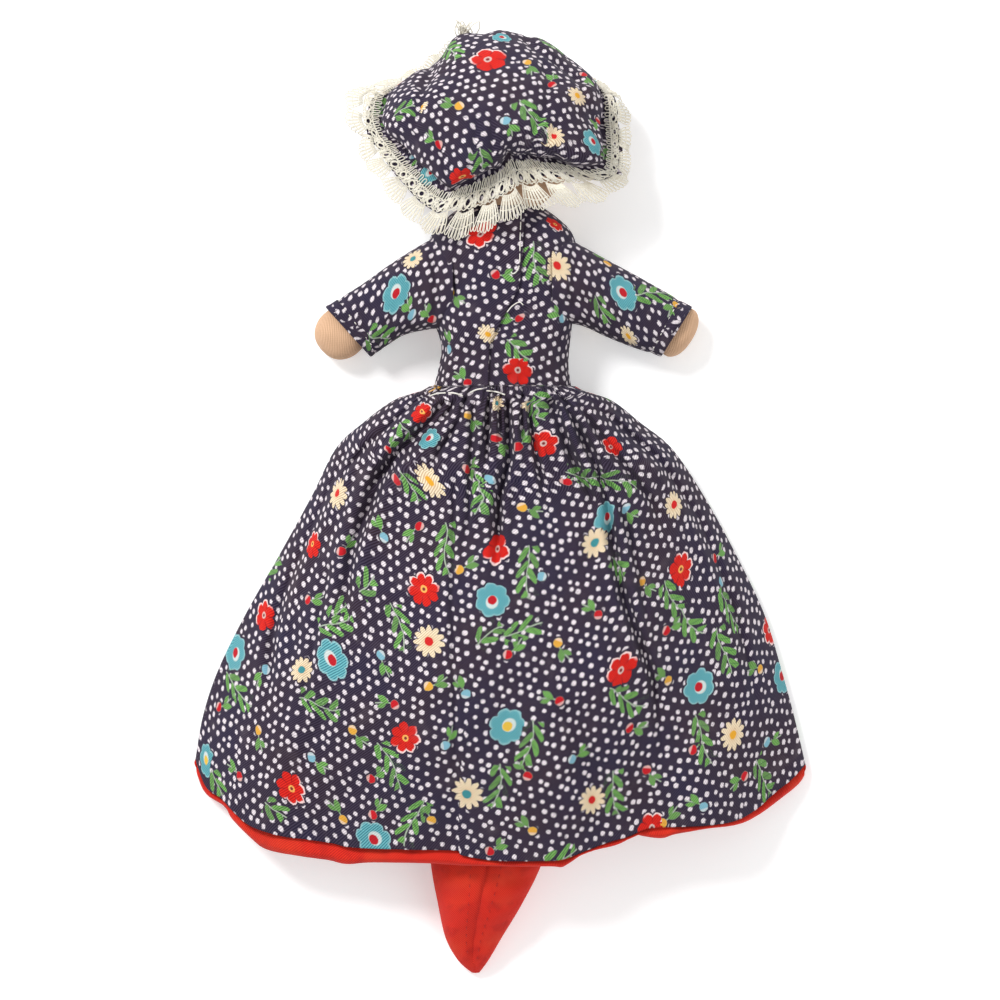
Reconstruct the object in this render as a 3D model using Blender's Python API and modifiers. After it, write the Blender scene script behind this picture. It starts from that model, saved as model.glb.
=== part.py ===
"""A sewn cloth doll with a second doll under its reversible skirt, lying face down.

Metres, +Z up. The doll lies on z = 0 with its back up, the head of the upper doll towards +Y
and the pointed hood of the lower doll towards -Y. Lengths along the body are measured from the
waist seam, in the doll's own frame, which one empty places so that the whole doll is centred.
"""
import math

import bmesh
import bpy
from mathutils import Matrix, Vector, geometry

# Cloth, seams and thread
SKIN_CLOTH = 0.0006
DRESS_CLOTH = 0.0008
SEAM_GAP = 0.0003
LAYER_GAP = 0.0004
THREAD_WIDTH = 0.0005
ELASTIC_WIDTH = 0.0012
CUT_OVERRUN = 0.004
CUTTER_STEP_DEG = 10
HALF_SEAM = SEAM_GAP / 2
MERGE_DISTANCE = SEAM_GAP / 100

# Reach of the whole doll from the waist seam, which centres it on the origin
UPPER_REACH = 0.1217
LOWER_REACH = 0.1962

# Torso of skin cotton, the same towards both heads
CHEST_WIDTH = 0.0444
TORSO_THICKNESS = 0.0250
SHOULDER_RISE = 0.0495
NECK_BASE = 0.0535
NECK_PIVOT = 0.0575
NECK_WIDTH = 0.0180
NECK_THICKNESS = 0.0160
SECTION_POWER = 2.5
TORSO_SIDES = 16
TORSO_SHARES = (
    (0.00, 0.94, 0.90),
    (0.30, 0.95, 0.96),
    (0.60, 1.00, 1.00),
    (0.82, 1.00, 0.96),
    (0.93, 0.98, 0.88),
    (1.00, 0.86, 0.76),
)
ROUND_END_ANGLES = (30, 60, 80)

# Heads
HEAD_WIDTH = 0.0520
HEAD_LENGTH = 0.0580
HEAD_THICKNESS = 0.0370
HEAD_RISE = 0.0840
CHIN_TAPER_SHARE = 0.10
FACE_FLAT = 0.0005
HEAD_TILT_DEG = 12
HEAD_SEGMENTS = (20, 12)
LOWER_HEAD_SEGMENTS = (16, 10)

# Arms and sleeves, measured outwards from the shoulder joint
SHOULDER_SPREAD = 0.0580
SHOULDER_JOINT_RISE = 0.0343
ARM_LENGTH = 0.0385
HAND_WIDTH = 0.0160
HAND_THICKNESS = 0.0130
WRIST_WIDTH_SHARE = 0.92
UPPER_ARM_THICKNESS = 0.0180
SLEEVE_ROOT_WIDTH = 0.0235
SLEEVE_ROOT_THICKNESS = 0.0215
SLEEVE_CUFF_WIDTH = 0.0210
SLEEVE_CUFF_THICKNESS = 0.0165
SLEEVE_LENGTH_LEFT = 0.0275
SLEEVE_LENGTH_RIGHT = 0.0325
ARM_DROOP = 0.0025
# how far round their inner ends the limbs are built, in degrees
SLEEVE_ROOT_ANGLES = (62, 45, 25)
ARM_ROOT_ANGLES = (50, 25)
STUFFING_ROOT_ANGLES = (70, 50, 25)
# mitten end of the hand, (back from the tip, half width, rise below, drop above) as shares of its half width
MITTEN_SHARES = (
    (0.45, 0.86, 0.00, 0.10),
    (0.12, 0.52, 0.25, 0.40),
    (0.00, 0.20, 0.50, 0.70),
)
ARM_SLOPE_LEFT_DEG = 29
ARM_SLOPE_RIGHT_DEG = 25
ARM_RAISE_DEG = 30
ARM_LOWER_DEG = 20
LOWER_ARM_SLOPE_DEG = 48
LOWER_ARM_SWING_DEG = 10
ARM_SIDES = 12

# Bodice
LAP_OVER_DEG = 17
LAP_UNDER_DEG = 12
WAIST_TUCK = 0.0020
CLEAR_OF_EDGE_SHARE = 0.125

# Skirt and lining
SKIRT_LENGTH = 0.1580
HEM_WIDTH = 0.2040
SKIRT_HEIGHT = 0.0463
SIDE_FOLD_HEIGHT = 0.0040
FOLD_DEPTH = 0.0026
FOLD_WIDTH_SHARE = 0.10
# folds over the back: (place across at the waist, at the hem, depth at the waist, at the hem) as shares
FOLD_PLACES = (
    (-0.90, -0.85, 0.6, 0.9),
    (-0.78, -0.60, 1.1, 0.8),
    (-0.50, -0.42, 0.9, 0.0),
    (-0.25, -0.17, 0.5, 0.8),
    (0.00, -0.02, 1.2, 0.0),
    (0.24, 0.30, 0.7, 0.6),
    (0.45, 0.53, 1.0, 1.0),
    (0.80, 0.80, 0.6, 0.9),
)
LINING_SHOWS_LEFT = 0.0055
LINING_SHOWS_RIGHT = 0.0020
TOP_SEGMENTS = 40
UNDER_SEGMENTS = 12
SKIRT_SPREAD_SHARE = 0.23
LINING_MIDDLE_SHARE = 0.35
WAIST_EDGE_POWER = 1 / SECTION_POWER
FOLD_EDGE_POWER = 0.75
DEEPEST_CORNER = 0.6
# along the skirt, (half width, side drop, middle drop, height, fold) as shares of the sizes above
SKIRT_SHARES = (
    (None, 0.000, 0.000, None, 0.00),
    (None, 0.012, 0.012, None, 0.00),
    (0.351, 0.030, 0.080, 0.800, 0.35),
    (0.461, 0.076, 0.173, 0.840, 0.50),
    (0.559, 0.130, 0.260, 0.860, 0.60),
    (0.655, 0.230, 0.380, 0.930, 0.70),
    (0.752, 0.350, 0.520, 1.000, 0.80),
    (0.848, 0.470, 0.660, 1.000, 0.90),
    (0.922, 0.585, 0.800, 0.930, 1.00),
    (0.969, 0.680, 0.900, 0.840, 1.00),
    (1.000, 0.772, 1.000, 0.740, 1.00),
)

# Mob cap of the upper doll
CAP_SHIFT = -0.0020
CAP_SHIFT_RISE_SHARE = 0.25
CAP_NAPE_DEG = 118
CAP_BROW_DEG = -47
CAP_HEIGHT = 0.0258
CAP_PUFF_SIDE = 0.0078
CAP_PUFF_NAPE = 0.0036
CAP_PUFF_TOP = 0.0085
CAP_SIDES = 48
CAP_GATHERS = 12
CAP_GATHER_DEPTH = 0.0006
CROWN_LIFT = 0.0015
BRIM_WIDTH = 0.0080
LACE_WIDTH = 0.0125
LACE_START = 0.0012
# droop below level at the nape, the sides and the brow, in degrees
BRIM_DROOP = (12, 20, 0)
LACE_DROOP = (20, 28, 0)
BROW_FRILL_SHARE = 0.66
LACE_SIDES = 72
LACE_SCALLOPS = 24
LACE_SCALLOP = 0.0012
# crown rows, (share of the puff, share of the ring, share of the height)
CROWN_SHARES = (
    (0.55, 1.00, 0.13),
    (1.00, 1.00, 0.34),
    (0.72, 0.97, 0.59),
    (0.20, 0.84, 0.83),
    (0.00, 0.46, 0.97),
)
CROWN_TOP_SHARE = 0.08

# Pointed hood of the lower doll
HOOD_OPEN_DEG = -25
HOOD_SIDES = 9
HOOD_HEM_WIDTH = 0.0390
HOOD_HEM_THICKNESS = 0.0230
HOOD_EASE = 0.0007
HOOD_TILT_DEG = 6
# round the head from the neck, in degrees, then along the free point of the hood, as shares
HOOD_HEAD_ANGLES = (26, 45, 65, 85, 108)
HOOD_POINT_SHARES = (0.25, 0.50, 0.70, 0.86, 1.00)
HOOD_POINT_WIDTH_SHARES = (1.19, 1.08, 0.86, 0.52, 0.13)
HOOD_POINT_THICKNESS_SHARES = (1.41, 1.21, 0.92, 0.54, 0.13)
HOOD_LEAN = -0.0092
HOOD_POINT_LEAN_SHARES = (0.20, 0.43, 0.70, 1.00, 0.98)
HOOD_CLOSED_SHARE = 0.50
HOOD_SINK_SHARE = 0.67

# Colours, (red, green, blue), and roughness
SKIN_TONE = (0.52, 0.31, 0.19)
STUFFING_WHITE = (0.85, 0.82, 0.74)
CALICO_NAVY = (0.035, 0.03, 0.075)
COTTON_RED = (0.55, 0.02, 0.015)
LACE_CREAM = (0.80, 0.76, 0.66)
THREAD_WHITE = (0.85, 0.83, 0.78)
WOVEN_ROUGHNESS = 0.9

# Levels that follow from the layers of cloth on the floor
LINING_INSET = DRESS_CLOTH + LAYER_GAP
SKIRT_LAYERS = DRESS_CLOTH + LINING_INSET
LOWER_FLOOR = SKIRT_LAYERS + SEAM_GAP
BODICE_OUT = SEAM_GAP + DRESS_CLOTH
FRILL_FLOOR = SEAM_GAP + DRESS_CLOTH
TORSO_MIDDLE = LOWER_FLOOR + BODICE_OUT + TORSO_THICKNESS / 2
SLEEVE_ROOT = SLEEVE_ROOT_WIDTH / 2
SHOULDER_X = SHOULDER_SPREAD / 2
WAIST_SHIFT = (LOWER_REACH - UPPER_REACH) / 2


def clear_scene():
    for obj in list(bpy.data.objects):
        bpy.data.objects.remove(obj, do_unlink=True)


def new_collection(name):
    made = bpy.data.collections.new(name)
    bpy.context.scene.collection.children.link(made)
    return made


def new_material(name, colour):
    made = bpy.data.materials.new(name)
    made.use_nodes = True
    shader = made.node_tree.nodes["Principled BSDF"]
    shader.inputs["Base Color"].default_value = (*colour, 1)
    shader.inputs["Roughness"].default_value = WOVEN_ROUGHNESS
    shader.inputs["Metallic"].default_value = 0
    return made


def new_empty(name, parent=None, location=(0, 0, 0), turn=0.0):
    made = bpy.data.objects.new(name, None)
    made.location = location
    made.rotation_euler = (0, 0, turn)
    made.parent = parent
    PIECES.objects.link(made)
    return made


def add_piece(name, bm, material, parent, outwards_from=None):
    """Makes a piece from a mesh in the doll's frame and hangs it on its empty."""
    bmesh.ops.remove_doubles(bm, verts=bm.verts, dist=MERGE_DISTANCE)
    if outwards_from is None:
        bmesh.ops.recalc_face_normals(bm, faces=bm.faces)
    else:
        face_away(bm, Vector(outwards_from))
    if parent is not DOLL:
        bmesh.ops.translate(bm, verts=bm.verts, vec=-parent.location)
    return finish_piece(name, bm, material, parent)


def finish_piece(name, bm, material, parent):
    mesh = bpy.data.meshes.new(name)
    bm.to_mesh(mesh)
    bm.free()
    mesh.materials.append(material)
    mesh.shade_smooth()
    obj = bpy.data.objects.new(name, mesh)
    obj.parent = parent
    PIECES.objects.link(obj)
    return obj


def face_away(bm, centre):
    """Turns the faces of an open sheet away from a point inside it."""
    bm.normal_update()
    outward = sum(f.normal.dot(f.calc_center_median() - centre) * f.calc_area() for f in bm.faces)
    if outward < 0:
        bmesh.ops.reverse_faces(bm, faces=bm.faces)


def sheet_thickness(obj, thickness):
    """Gives an open sheet its cloth, inwards from the face that is modelled."""
    shell = obj.modifiers.new("cloth", "SOLIDIFY")
    shell.thickness = thickness
    shell.offset = -1
    shell.use_rim = True


def cut_with(obj, cutter):
    cut = obj.modifiers.new("cut", "BOOLEAN")
    cut.operation = "DIFFERENCE"
    cut.solver = "EXACT"
    cut.object = cutter


def new_cutter(name, outline, low, high, parent):
    """A prism over a flat outline, from one height to another."""
    bm = bmesh.new()
    face = bm.faces.new([bm.verts.new((x, y, low)) for x, y in outline])
    raised = bmesh.ops.extrude_face_region(bm, geom=[face])
    top = [v for v in raised["geom"] if isinstance(v, bmesh.types.BMVert)]
    bmesh.ops.translate(bm, verts=top, vec=(0, 0, high - low))
    bmesh.ops.recalc_face_normals(bm, faces=bm.faces)
    mesh = bpy.data.meshes.new(name)
    bm.to_mesh(mesh)
    bm.free()
    obj = bpy.data.objects.new(name, mesh)
    obj.parent = parent
    obj.hide_render = True
    obj.display_type = "WIRE"
    CUTTERS.objects.link(obj)
    return obj


def swept_outline(pivot, radius, reach, directions):
    """The space that a round-ended limb needs when it turns about its pivot between directions."""
    points = [Vector(pivot) + radius * direction(angle) for angle in range(0, 360, CUTTER_STEP_DEG)]
    for angle in directions:
        along, across = direction(angle), direction(angle + 90)
        points += [Vector(pivot) + reach * along + side * radius * across for side in (-1, 1)]
    order = geometry.convex_hull_2d(points)
    return [points[i] for i in order]


def direction(degrees):
    return Vector((math.cos(math.radians(degrees)), math.sin(math.radians(degrees))))


def section_point(half_width, half_thickness, angle, middle):
    """(x, z) of a point on a rounded section across the body, at an angle from +X towards +Z."""
    c, s = math.cos(angle), math.sin(angle)
    x = math.copysign(abs(c) ** (2 / SECTION_POWER), c) * half_width
    z = math.copysign(abs(s) ** (2 / SECTION_POWER), s) * half_thickness
    return x, middle + z


def loft(rings, closed=True, first_cap=False, last_cap=False):
    """Skins a row of like sections. Each ring closes on itself unless closed is false."""
    bm = bmesh.new()
    rows = [[bm.verts.new(point) for point in ring] for ring in rings]
    for below, above in zip(rows, rows[1:]):
        count = len(below)
        for i in range(count if closed else count - 1):
            j = (i + 1) % count
            bm.faces.new((below[i], below[j], above[j], above[i]))
    if first_cap:
        bm.faces.new(rows[0][::-1])
    if last_cap:
        bm.faces.new(rows[-1])
    return bm


def even_angles(count):
    return [2 * math.pi * i / count for i in range(count)]


# Torso

def torso_stations(inset):
    """(rise, half width, half thickness) from the waist to the round end of the neck.

    The shoulders slope steeply to the neck, so an inset moves their ends along the body too.
    """
    stations = [
        (
            rise * SHOULDER_RISE - (inset if rise == 1 else 0),
            width * CHEST_WIDTH / 2 - inset,
            thickness * TORSO_THICKNESS / 2 - inset,
        )
        for rise, width, thickness in TORSO_SHARES
    ]
    radius = NECK_WIDTH / 2 - inset
    stations.append((NECK_BASE - inset, radius, NECK_THICKNESS / 2 - inset))
    stations.append((NECK_PIVOT, radius, NECK_THICKNESS / 2 - inset))
    for degrees in ROUND_END_ANGLES:
        bend = direction(degrees)
        stations.append((NECK_PIVOT + radius * bend.y, radius * bend.x, NECK_THICKNESS / 2 - inset))
    return stations


def torso_half(inset):
    rings = []
    for rise, half_width, half_thickness in torso_stations(inset):
        angles = even_angles(TORSO_SIDES)
        points = [section_point(half_width, half_thickness, a, TORSO_MIDDLE) for a in angles]
        rings.append([(x, rise, z) for x, z in points])
    return loft(rings, last_cap=True)


def make_torso(armholes):
    """The double-ended body: a cotton skin and its filling, the same towards both heads."""
    for name, inset, material in (
        ("torso_skin", 0, SKIN),
        ("torso_stuffing", SKIN_CLOTH + SEAM_GAP, STUFFING),
    ):
        middle = (0, SHOULDER_RISE / 2, TORSO_MIDDLE)
        obj = add_piece(name, torso_half(inset), material, DOLL, outwards_from=middle)
        mirror = obj.modifiers.new("lower half", "MIRROR")
        mirror.use_axis = (False, True, False)
        mirror.merge_threshold = MERGE_DISTANCE
        if not inset:
            sheet_thickness(obj, SKIN_CLOTH)
        for hole in armholes:
            cut_with(obj, hole)


# Bodices

def bodice_stations(start, lift):
    """(rise, half width, half thickness) of a bodice over the skin, from a start near the waist."""
    over_skin = torso_stations(-BODICE_OUT - lift)[: len(TORSO_SHARES) + 1]
    return [(start, over_skin[0][1], over_skin[0][2]), *over_skin[1:]]


def panel_angles(start, end):
    """The section's own angles between two edges, with the edges themselves."""
    step = 2 * math.pi / TORSO_SIDES
    inner = [k * step for k in range(-TORSO_SIDES, 2 * TORSO_SIDES) if start < k * step < end]
    clear = step * CLEAR_OF_EDGE_SHARE
    return [start, *[a for a in inner if a - start > clear and end - a > clear], end]


def seam_angle(half_thickness):
    """How far round a section from its side seam the edge of a panel starts."""
    return (SEAM_GAP / half_thickness) ** (SECTION_POWER / 2)


def bodice_panel(name, start, end, towards, material, lift=None):
    """One panel of a bodice between two angles round the body, towards the upper or lower head."""
    first = -WAIST_TUCK if towards > 0 else WAIST_TUCK + SEAM_GAP
    columns = []
    for angle in panel_angles(start, end):
        column = []
        for rise, half_width, half_thickness in bodice_stations(first, lift(angle) if lift else 0):
            x, z = section_point(half_width, half_thickness, angle, TORSO_MIDDLE)
            column.append((x, towards * rise, z))
        columns.append(column)
    rings = list(zip(*columns))
    middle = (0, towards * SHOULDER_RISE / 2, TORSO_MIDDLE)
    obj = add_piece(name, loft(rings, closed=False), material, DOLL, outwards_from=middle)
    sheet_thickness(obj, DRESS_CLOTH)
    return obj


def lap_lift(angle):
    """Raises the left back panel by one cloth where it lies over the right one."""
    step = 360 / TORSO_SIDES
    full = 90 + step * math.ceil(LAP_UNDER_DEG / step)
    share = (full + step - math.degrees(angle)) / step
    return BODICE_OUT * min(max(share, 0), 1)


def make_bodices(upper_holes, lower_holes):
    """The calico bodice, lapped and sewn shut down the back, and the red one under the skirt."""
    right, left = upper_holes
    edge = seam_angle(TORSO_THICKNESS / 2)
    over, under = math.radians(90 - LAP_OVER_DEG), math.radians(90 + LAP_UNDER_DEG)
    front = bodice_panel("bodice_front", math.pi + edge, 2 * math.pi - edge, 1, CALICO)
    back_left = bodice_panel("bodice_back_left", over, math.pi - edge, 1, CALICO, lap_lift)
    back_right = bodice_panel("bodice_back_right", edge, under, 1, CALICO)
    lower_front = bodice_panel("lower_bodice_front", math.pi + edge, 2 * math.pi - edge, -1, RED)
    lower_back = bodice_panel("lower_bodice_back", edge, math.pi - edge, -1, RED)
    cut_with(back_left, left)
    cut_with(back_right, right)
    for panel, holes in (
        (front, upper_holes),
        (lower_front, lower_holes),
        (lower_back, lower_holes),
    ):
        for hole in holes:
            cut_with(panel, hole)


def closed_tube(name, points, width, material, parent):
    """A thread or cord that runs back into itself, as a ring of round section."""
    curve = bpy.data.curves.new(name, "CURVE")
    curve.dimensions = "3D"
    curve.bevel_depth = width / 2
    curve.bevel_resolution = 1
    spline = curve.splines.new("POLY")
    spline.points.add(len(points) - 1)
    for place, point in zip(spline.points, points):
        place.co = (*(Vector(point) - (parent.location if parent is not DOLL else Vector())), 1)
    spline.use_cyclic_u = True
    curve.materials.append(material)
    obj = bpy.data.objects.new(name, curve)
    obj.parent = parent
    PIECES.objects.link(obj)
    return obj


def make_waist_thread():
    """The thread of the waist seam, round the bodice just above the edge of the skirt."""
    _, half_width, half_thickness = torso_stations(0)[0]
    rise = HALF_SEAM + THREAD_WIDTH
    points = []
    angles = even_angles(2 * TORSO_SIDES)
    lap_start = math.radians(90 - LAP_OVER_DEG) - angles[1]
    for angle in angles:
        lifted = lap_lift(angle) if lap_start < angle < math.pi else 0
        out = BODICE_OUT + lifted + SEAM_GAP + THREAD_WIDTH / 2
        x, z = section_point(half_width + out, half_thickness + out, angle, TORSO_MIDDLE)
        points.append((x, rise, z))
    closed_tube("waist_thread", points, THREAD_WIDTH, THREAD, DOLL)


# Skirt

def skirt_rows():
    """(half width, side drop, middle drop, height, side fold height, edge power, fold depth) of each row."""
    _, half_width, half_thickness = torso_stations(0)[0]
    waist_width = half_width + BODICE_OUT + SEAM_GAP + SKIRT_LAYERS
    waist_height = TORSO_MIDDLE + half_thickness + 2 * BODICE_OUT + SEAM_GAP + SKIRT_LAYERS
    rows = []
    for width, side, middle, height, fold in SKIRT_SHARES:
        spread = min(1, side / SKIRT_SPREAD_SHARE) if width else 0
        rows.append(
            (
                width * HEM_WIDTH / 2 if width else waist_width,
                side * SKIRT_LENGTH,
                middle * SKIRT_LENGTH,
                height * SKIRT_HEIGHT if height else waist_height,
                TORSO_MIDDLE + (SIDE_FOLD_HEIGHT - TORSO_MIDDLE) * spread,
                WAIST_EDGE_POWER + (FOLD_EDGE_POWER - WAIST_EDGE_POWER) * spread,
                fold * FOLD_DEPTH,
            )
        )
    return rows


def folds_at(across, down):
    """How deep the folds over the back are, at a place across and a share of the way down."""
    total = 0
    for top, hem, top_depth, hem_depth in FOLD_PLACES:
        away = (across - top - (hem - top) * down) / FOLD_WIDTH_SHARE
        total += (top_depth + (hem_depth - top_depth) * down) * math.exp(-(away**2))
    return total * (1 - across**4)


def skirt_ring(row):
    """One closed section of the skirt: over the back from right to left, then flat under the front."""
    half_width, side_drop, middle_drop, height, side_height, power, fold = row
    ring = []
    for across, over in ring_places():
        reach = (1 - abs(across) ** SECTION_POWER) ** power
        if over:
            sunk = fold * folds_at(across, middle_drop / SKIRT_LENGTH)
            z = side_height + (height - side_height - sunk) * reach
        else:
            rise = max(1 - (1 - abs(across)) * half_width / side_height, 0)
            z = side_height * (1 - math.sqrt(1 - rise**2))
        drop = side_drop + (middle_drop - side_drop) * (1 - across**2)
        ring.append(Vector((across * half_width, -drop, z)))
    return ring


def pressed_in(rings, depth):
    """The same surface a little further in, by an even depth measured square to it."""
    inner = []
    for i, ring in enumerate(rings):
        neighbours = list(zip(rings[max(i - 1, 0) : i + 1], rings[max(i, 1) :]))
        moved = []
        for j, point in enumerate(ring):
            sideways = (point - ring[j - 1], ring[(j + 1) % len(ring)] - point)
            lengthways = [lower[j] - upper[j] for upper, lower in neighbours]
            squares = [along.cross(edge).normalized() for along in lengthways for edge in sideways]
            square = sum(squares, Vector()).normalized()
            shallowest = min(square.dot(face) for face in squares)
            moved.append(point + square * depth / max(shallowest, DEEPEST_CORNER))
        inner.append(moved)
    return inner


def ring_places():
    """(place across, whether on the back) round the skirt, closer together at the side folds."""
    top = [(math.sin(math.pi / 2 * (1 - 2 * i / TOP_SEGMENTS)), True) for i in range(TOP_SEGMENTS)]
    under = [(-math.sin(math.pi / 2 * (1 - 2 * i / UNDER_SEGMENTS)), False) for i in range(UNDER_SEGMENTS)]
    return top + under


def rolled_out(rings):
    """A last row beyond the hem, where the lining rolls out, further on the left than on the right."""
    last = []
    for (across, _), inner, edge in zip(ring_places(), rings[-2], rings[-1]):
        side = LINING_SHOWS_LEFT if across < 0 else LINING_SHOWS_RIGHT
        shows = side * (LINING_MIDDLE_SHARE + (1 - LINING_MIDDLE_SHARE) * min(1, 2 * abs(across)))
        straight = Vector((0, edge.y - inner.y, edge.z - inner.z)).normalized()
        last.append(edge + straight * shows)
    return [*rings, last]


def make_skirt():
    """The calico skirt and its lining, one even gap apart, gathered in at the same waist."""
    outer = [skirt_ring(row) for row in skirt_rows()]
    inner = rolled_out(pressed_in(outer, LINING_INSET))
    middle = (0, -SKIRT_LENGTH / 2, SKIRT_HEIGHT / 2)
    for name, rings, material in (("skirt", outer, CALICO), ("skirt_lining", inner, RED)):
        obj = add_piece(name, loft(rings), material, DOLL, outwards_from=middle)
        sheet_thickness(obj, DRESS_CLOTH)


# Heads

def head_half_sizes(inset):
    return (
        HEAD_WIDTH / 2 - inset,
        HEAD_LENGTH / 2 - inset,
        HEAD_THICKNESS / 2 - inset,
    )


def head_mesh(middle, floor, inset, segments):
    """A stuffed head: an egg, narrower at the chin, pressed flat where the face lies on something."""
    bm = bmesh.new()
    sides, rings = segments
    poles_along_y = Matrix.Rotation(math.pi / 2, 4, "X")
    bmesh.ops.create_uvsphere(bm, u_segments=sides, v_segments=rings, radius=1, matrix=poles_along_y)
    sizes = head_half_sizes(inset)
    towards = math.copysign(1, middle.y)
    for vert in bm.verts:
        chin = max(-towards * vert.co.y, 0)
        vert.co.x *= 1 - CHIN_TAPER_SHARE * chin**2
        vert.co = Vector(c * size for c, size in zip(vert.co, sizes)) + middle
        vert.co.z = max(vert.co.z, floor + inset)
    return bm


def make_head(prefix, middle, floor, pocket, parent, segments):
    for name, inset, material in (
        (f"{prefix}_skin", 0, SKIN),
        (f"{prefix}_stuffing", SKIN_CLOTH + SEAM_GAP, STUFFING),
    ):
        bm = head_mesh(middle, floor, inset, segments)
        obj = add_piece(name, bm, material, parent)
        if not inset:
            sheet_thickness(obj, SKIN_CLOTH)
        cut_with(obj, pocket)


def neck_pocket(name, towards, tilt):
    """The opening in a head round the neck stub, wide enough for the head to tilt on it."""
    outline = swept_outline(
        (0, towards * NECK_PIVOT),
        NECK_WIDTH / 2 + SEAM_GAP,
        HEAD_LENGTH / 2,
        (-90 * towards - tilt, -90 * towards + tilt),
    )
    half = NECK_THICKNESS / 2 + SEAM_GAP
    return new_cutter(name, outline, TORSO_MIDDLE - half, TORSO_MIDDLE + half, DOLL)


# Mob cap

def cap_frame(middle):
    """The centre of the gathering ring, its half length in its own plane and the plane's two directions."""
    _, half_length, half_thickness = head_half_sizes(0)
    turns = [direction(angle) for angle in (CAP_NAPE_DEG, CAP_BROW_DEG)]
    ends = [middle + Vector((0, half_length * turn.x, half_thickness * turn.y)) for turn in turns]
    centre = (ends[0] + ends[1]) / 2
    along = (ends[1] - ends[0]).normalized()
    outwards = Vector((0, -along.z, along.y))
    return centre, (ends[1] - ends[0]).length / 2, along, outwards


def ring_sizes(middle, clearance):
    """Half width and half length of the ring where the gathering plane meets the head, plus a clearance."""
    half_width, half_length, half_thickness = head_half_sizes(0)
    centre, along_size, _, _ = cap_frame(middle)
    off = (centre - middle).y / half_length, (centre - middle).z / half_thickness
    return half_width * math.sqrt(1 - off[0] ** 2 - off[1] ** 2) + clearance, along_size + clearance


def puff_at(angle):
    """How far the crown stands out past its gathers, at an angle round it from +X towards the brow."""
    end = CAP_PUFF_TOP if math.sin(angle) > 0 else CAP_PUFF_NAPE
    return CAP_PUFF_SIDE + (end - CAP_PUFF_SIDE) * math.sin(angle) ** 2


def cap_rings(middle):
    """Rows of the cap from the middle of the crown, down over its puff, to the gathers and the brim."""
    centre, _, along, outwards = cap_frame(middle)
    ring = ring_sizes(middle, 2 * SEAM_GAP + ELASTIC_WIDTH + DRESS_CLOTH)
    rows = []
    crown = [(0.0, CROWN_TOP_SHARE, 1.0), *reversed(CROWN_SHARES), (0.0, 1.0, 0.0)]
    for puff, size, height in crown:
        row = []
        for angle in even_angles(CAP_SIDES):
            pleat = (1 + math.cos(CAP_GATHERS * angle)) / 2 * (1 - height) if size == 1 else 0
            out = puff * puff_at(angle) + CAP_GATHER_DEPTH * pleat
            x = (ring[0] * size + out) * math.cos(angle)
            y = (ring[1] * size + out) * math.sin(angle)
            shift = Vector((CAP_SHIFT * min(1, height / CAP_SHIFT_RISE_SHARE), 0, 0))
            point = centre + shift + Vector((x, 0, 0)) + along * y + outwards * (height * CAP_HEIGHT)
            point.z = max(point.z, FRILL_FLOOR + LAYER_GAP + (CROWN_LIFT if height else 0))
            row.append(point)
        rows.append(row)
    rows.append(flared(rows[-1], BRIM_WIDTH, BRIM_DROOP, centre))
    return rows


def flared(row, width, droops, centre):
    """A row further out than the last, drooping from level but not into the floor."""
    nape, sides, brow = droops
    outer = []
    for point in row:
        away = Vector((point.x - centre.x, point.y - centre.y, 0)).normalized()
        droop = math.radians(sides + ((brow if away.y > 0 else nape) - sides) * away.y**2)
        reach = width * (1 - (1 - BROW_FRILL_SHARE) * max(away.y, 0))
        moved = point + away * reach * math.cos(droop)
        moved.z = max(moved.z - reach * math.sin(droop), FRILL_FLOOR)
        outer.append(moved)
    return outer


def make_cap(middle, parent):
    rows = cap_rings(middle)
    centre, _, along, outwards = cap_frame(middle)
    cap = add_piece("cap", loft(rows, first_cap=True), CALICO, parent, outwards_from=centre)
    sheet_thickness(cap, DRESS_CLOTH)
    make_lace(rows[-1], centre, parent)
    size = ring_sizes(middle, SEAM_GAP + ELASTIC_WIDTH / 2)
    points = [
        centre + Vector((size[0] * math.cos(a), 0, 0)) + along * size[1] * math.sin(a)
        for a in even_angles(LACE_SIDES // 2)
    ]
    closed_tube("cap_elastic", points, ELASTIC_WIDTH, THREAD, parent)


def make_lace(edge, centre, parent):
    """The frill: starts just past the brim's edge and sinks outwards, with a scalloped edge."""
    start = []
    for i in range(LACE_SIDES):
        share = i * len(edge) / LACE_SIDES
        a, b = edge[int(share)], edge[(int(share) + 1) % len(edge)]
        start.append(a.lerp(b, share % 1))
    inner = flared(start, LACE_START, LACE_DROOP, centre)
    middle_row = flared(inner, LACE_WIDTH / 2, LACE_DROOP, centre)
    outer = []
    for i, point in enumerate(flared(inner, LACE_WIDTH, LACE_DROOP, centre)):
        away = Vector((point.x - centre.x, point.y - centre.y, 0)).normalized()
        wave = math.cos(2 * math.pi * LACE_SCALLOPS * i / LACE_SIDES)
        outer.append(point + away * LACE_SCALLOP * wave)
    below = (centre.x, centre.y, -HEAD_LENGTH)
    lace = add_piece("cap_lace", loft([inner, middle_row, outer]), LACE, parent, outwards_from=below)
    sheet_thickness(lace, DRESS_CLOTH)


# Arms

def arm_joint(towards, side):
    return Vector((side * SHOULDER_X, towards * SHOULDER_JOINT_RISE, 0))


def limb_rings(stations, sides):
    """Sections across a limb that runs along +X: (distance, half width, lowest, highest)."""
    rings = []
    for distance, half_width, low, high in stations:
        middle, half = (low + high) / 2, (high - low) / 2
        points = [section_point(half_width, half, angle, middle) for angle in even_angles(sides)]
        rings.append([(distance, y, z) for y, z in points])
    return rings


def round_root(radius, low, high, angles):
    """The round inner end of a limb, which turns in the armhole."""
    return [(-radius * direction(a).y, radius * direction(a).x, low, high) for a in angles]


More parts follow.
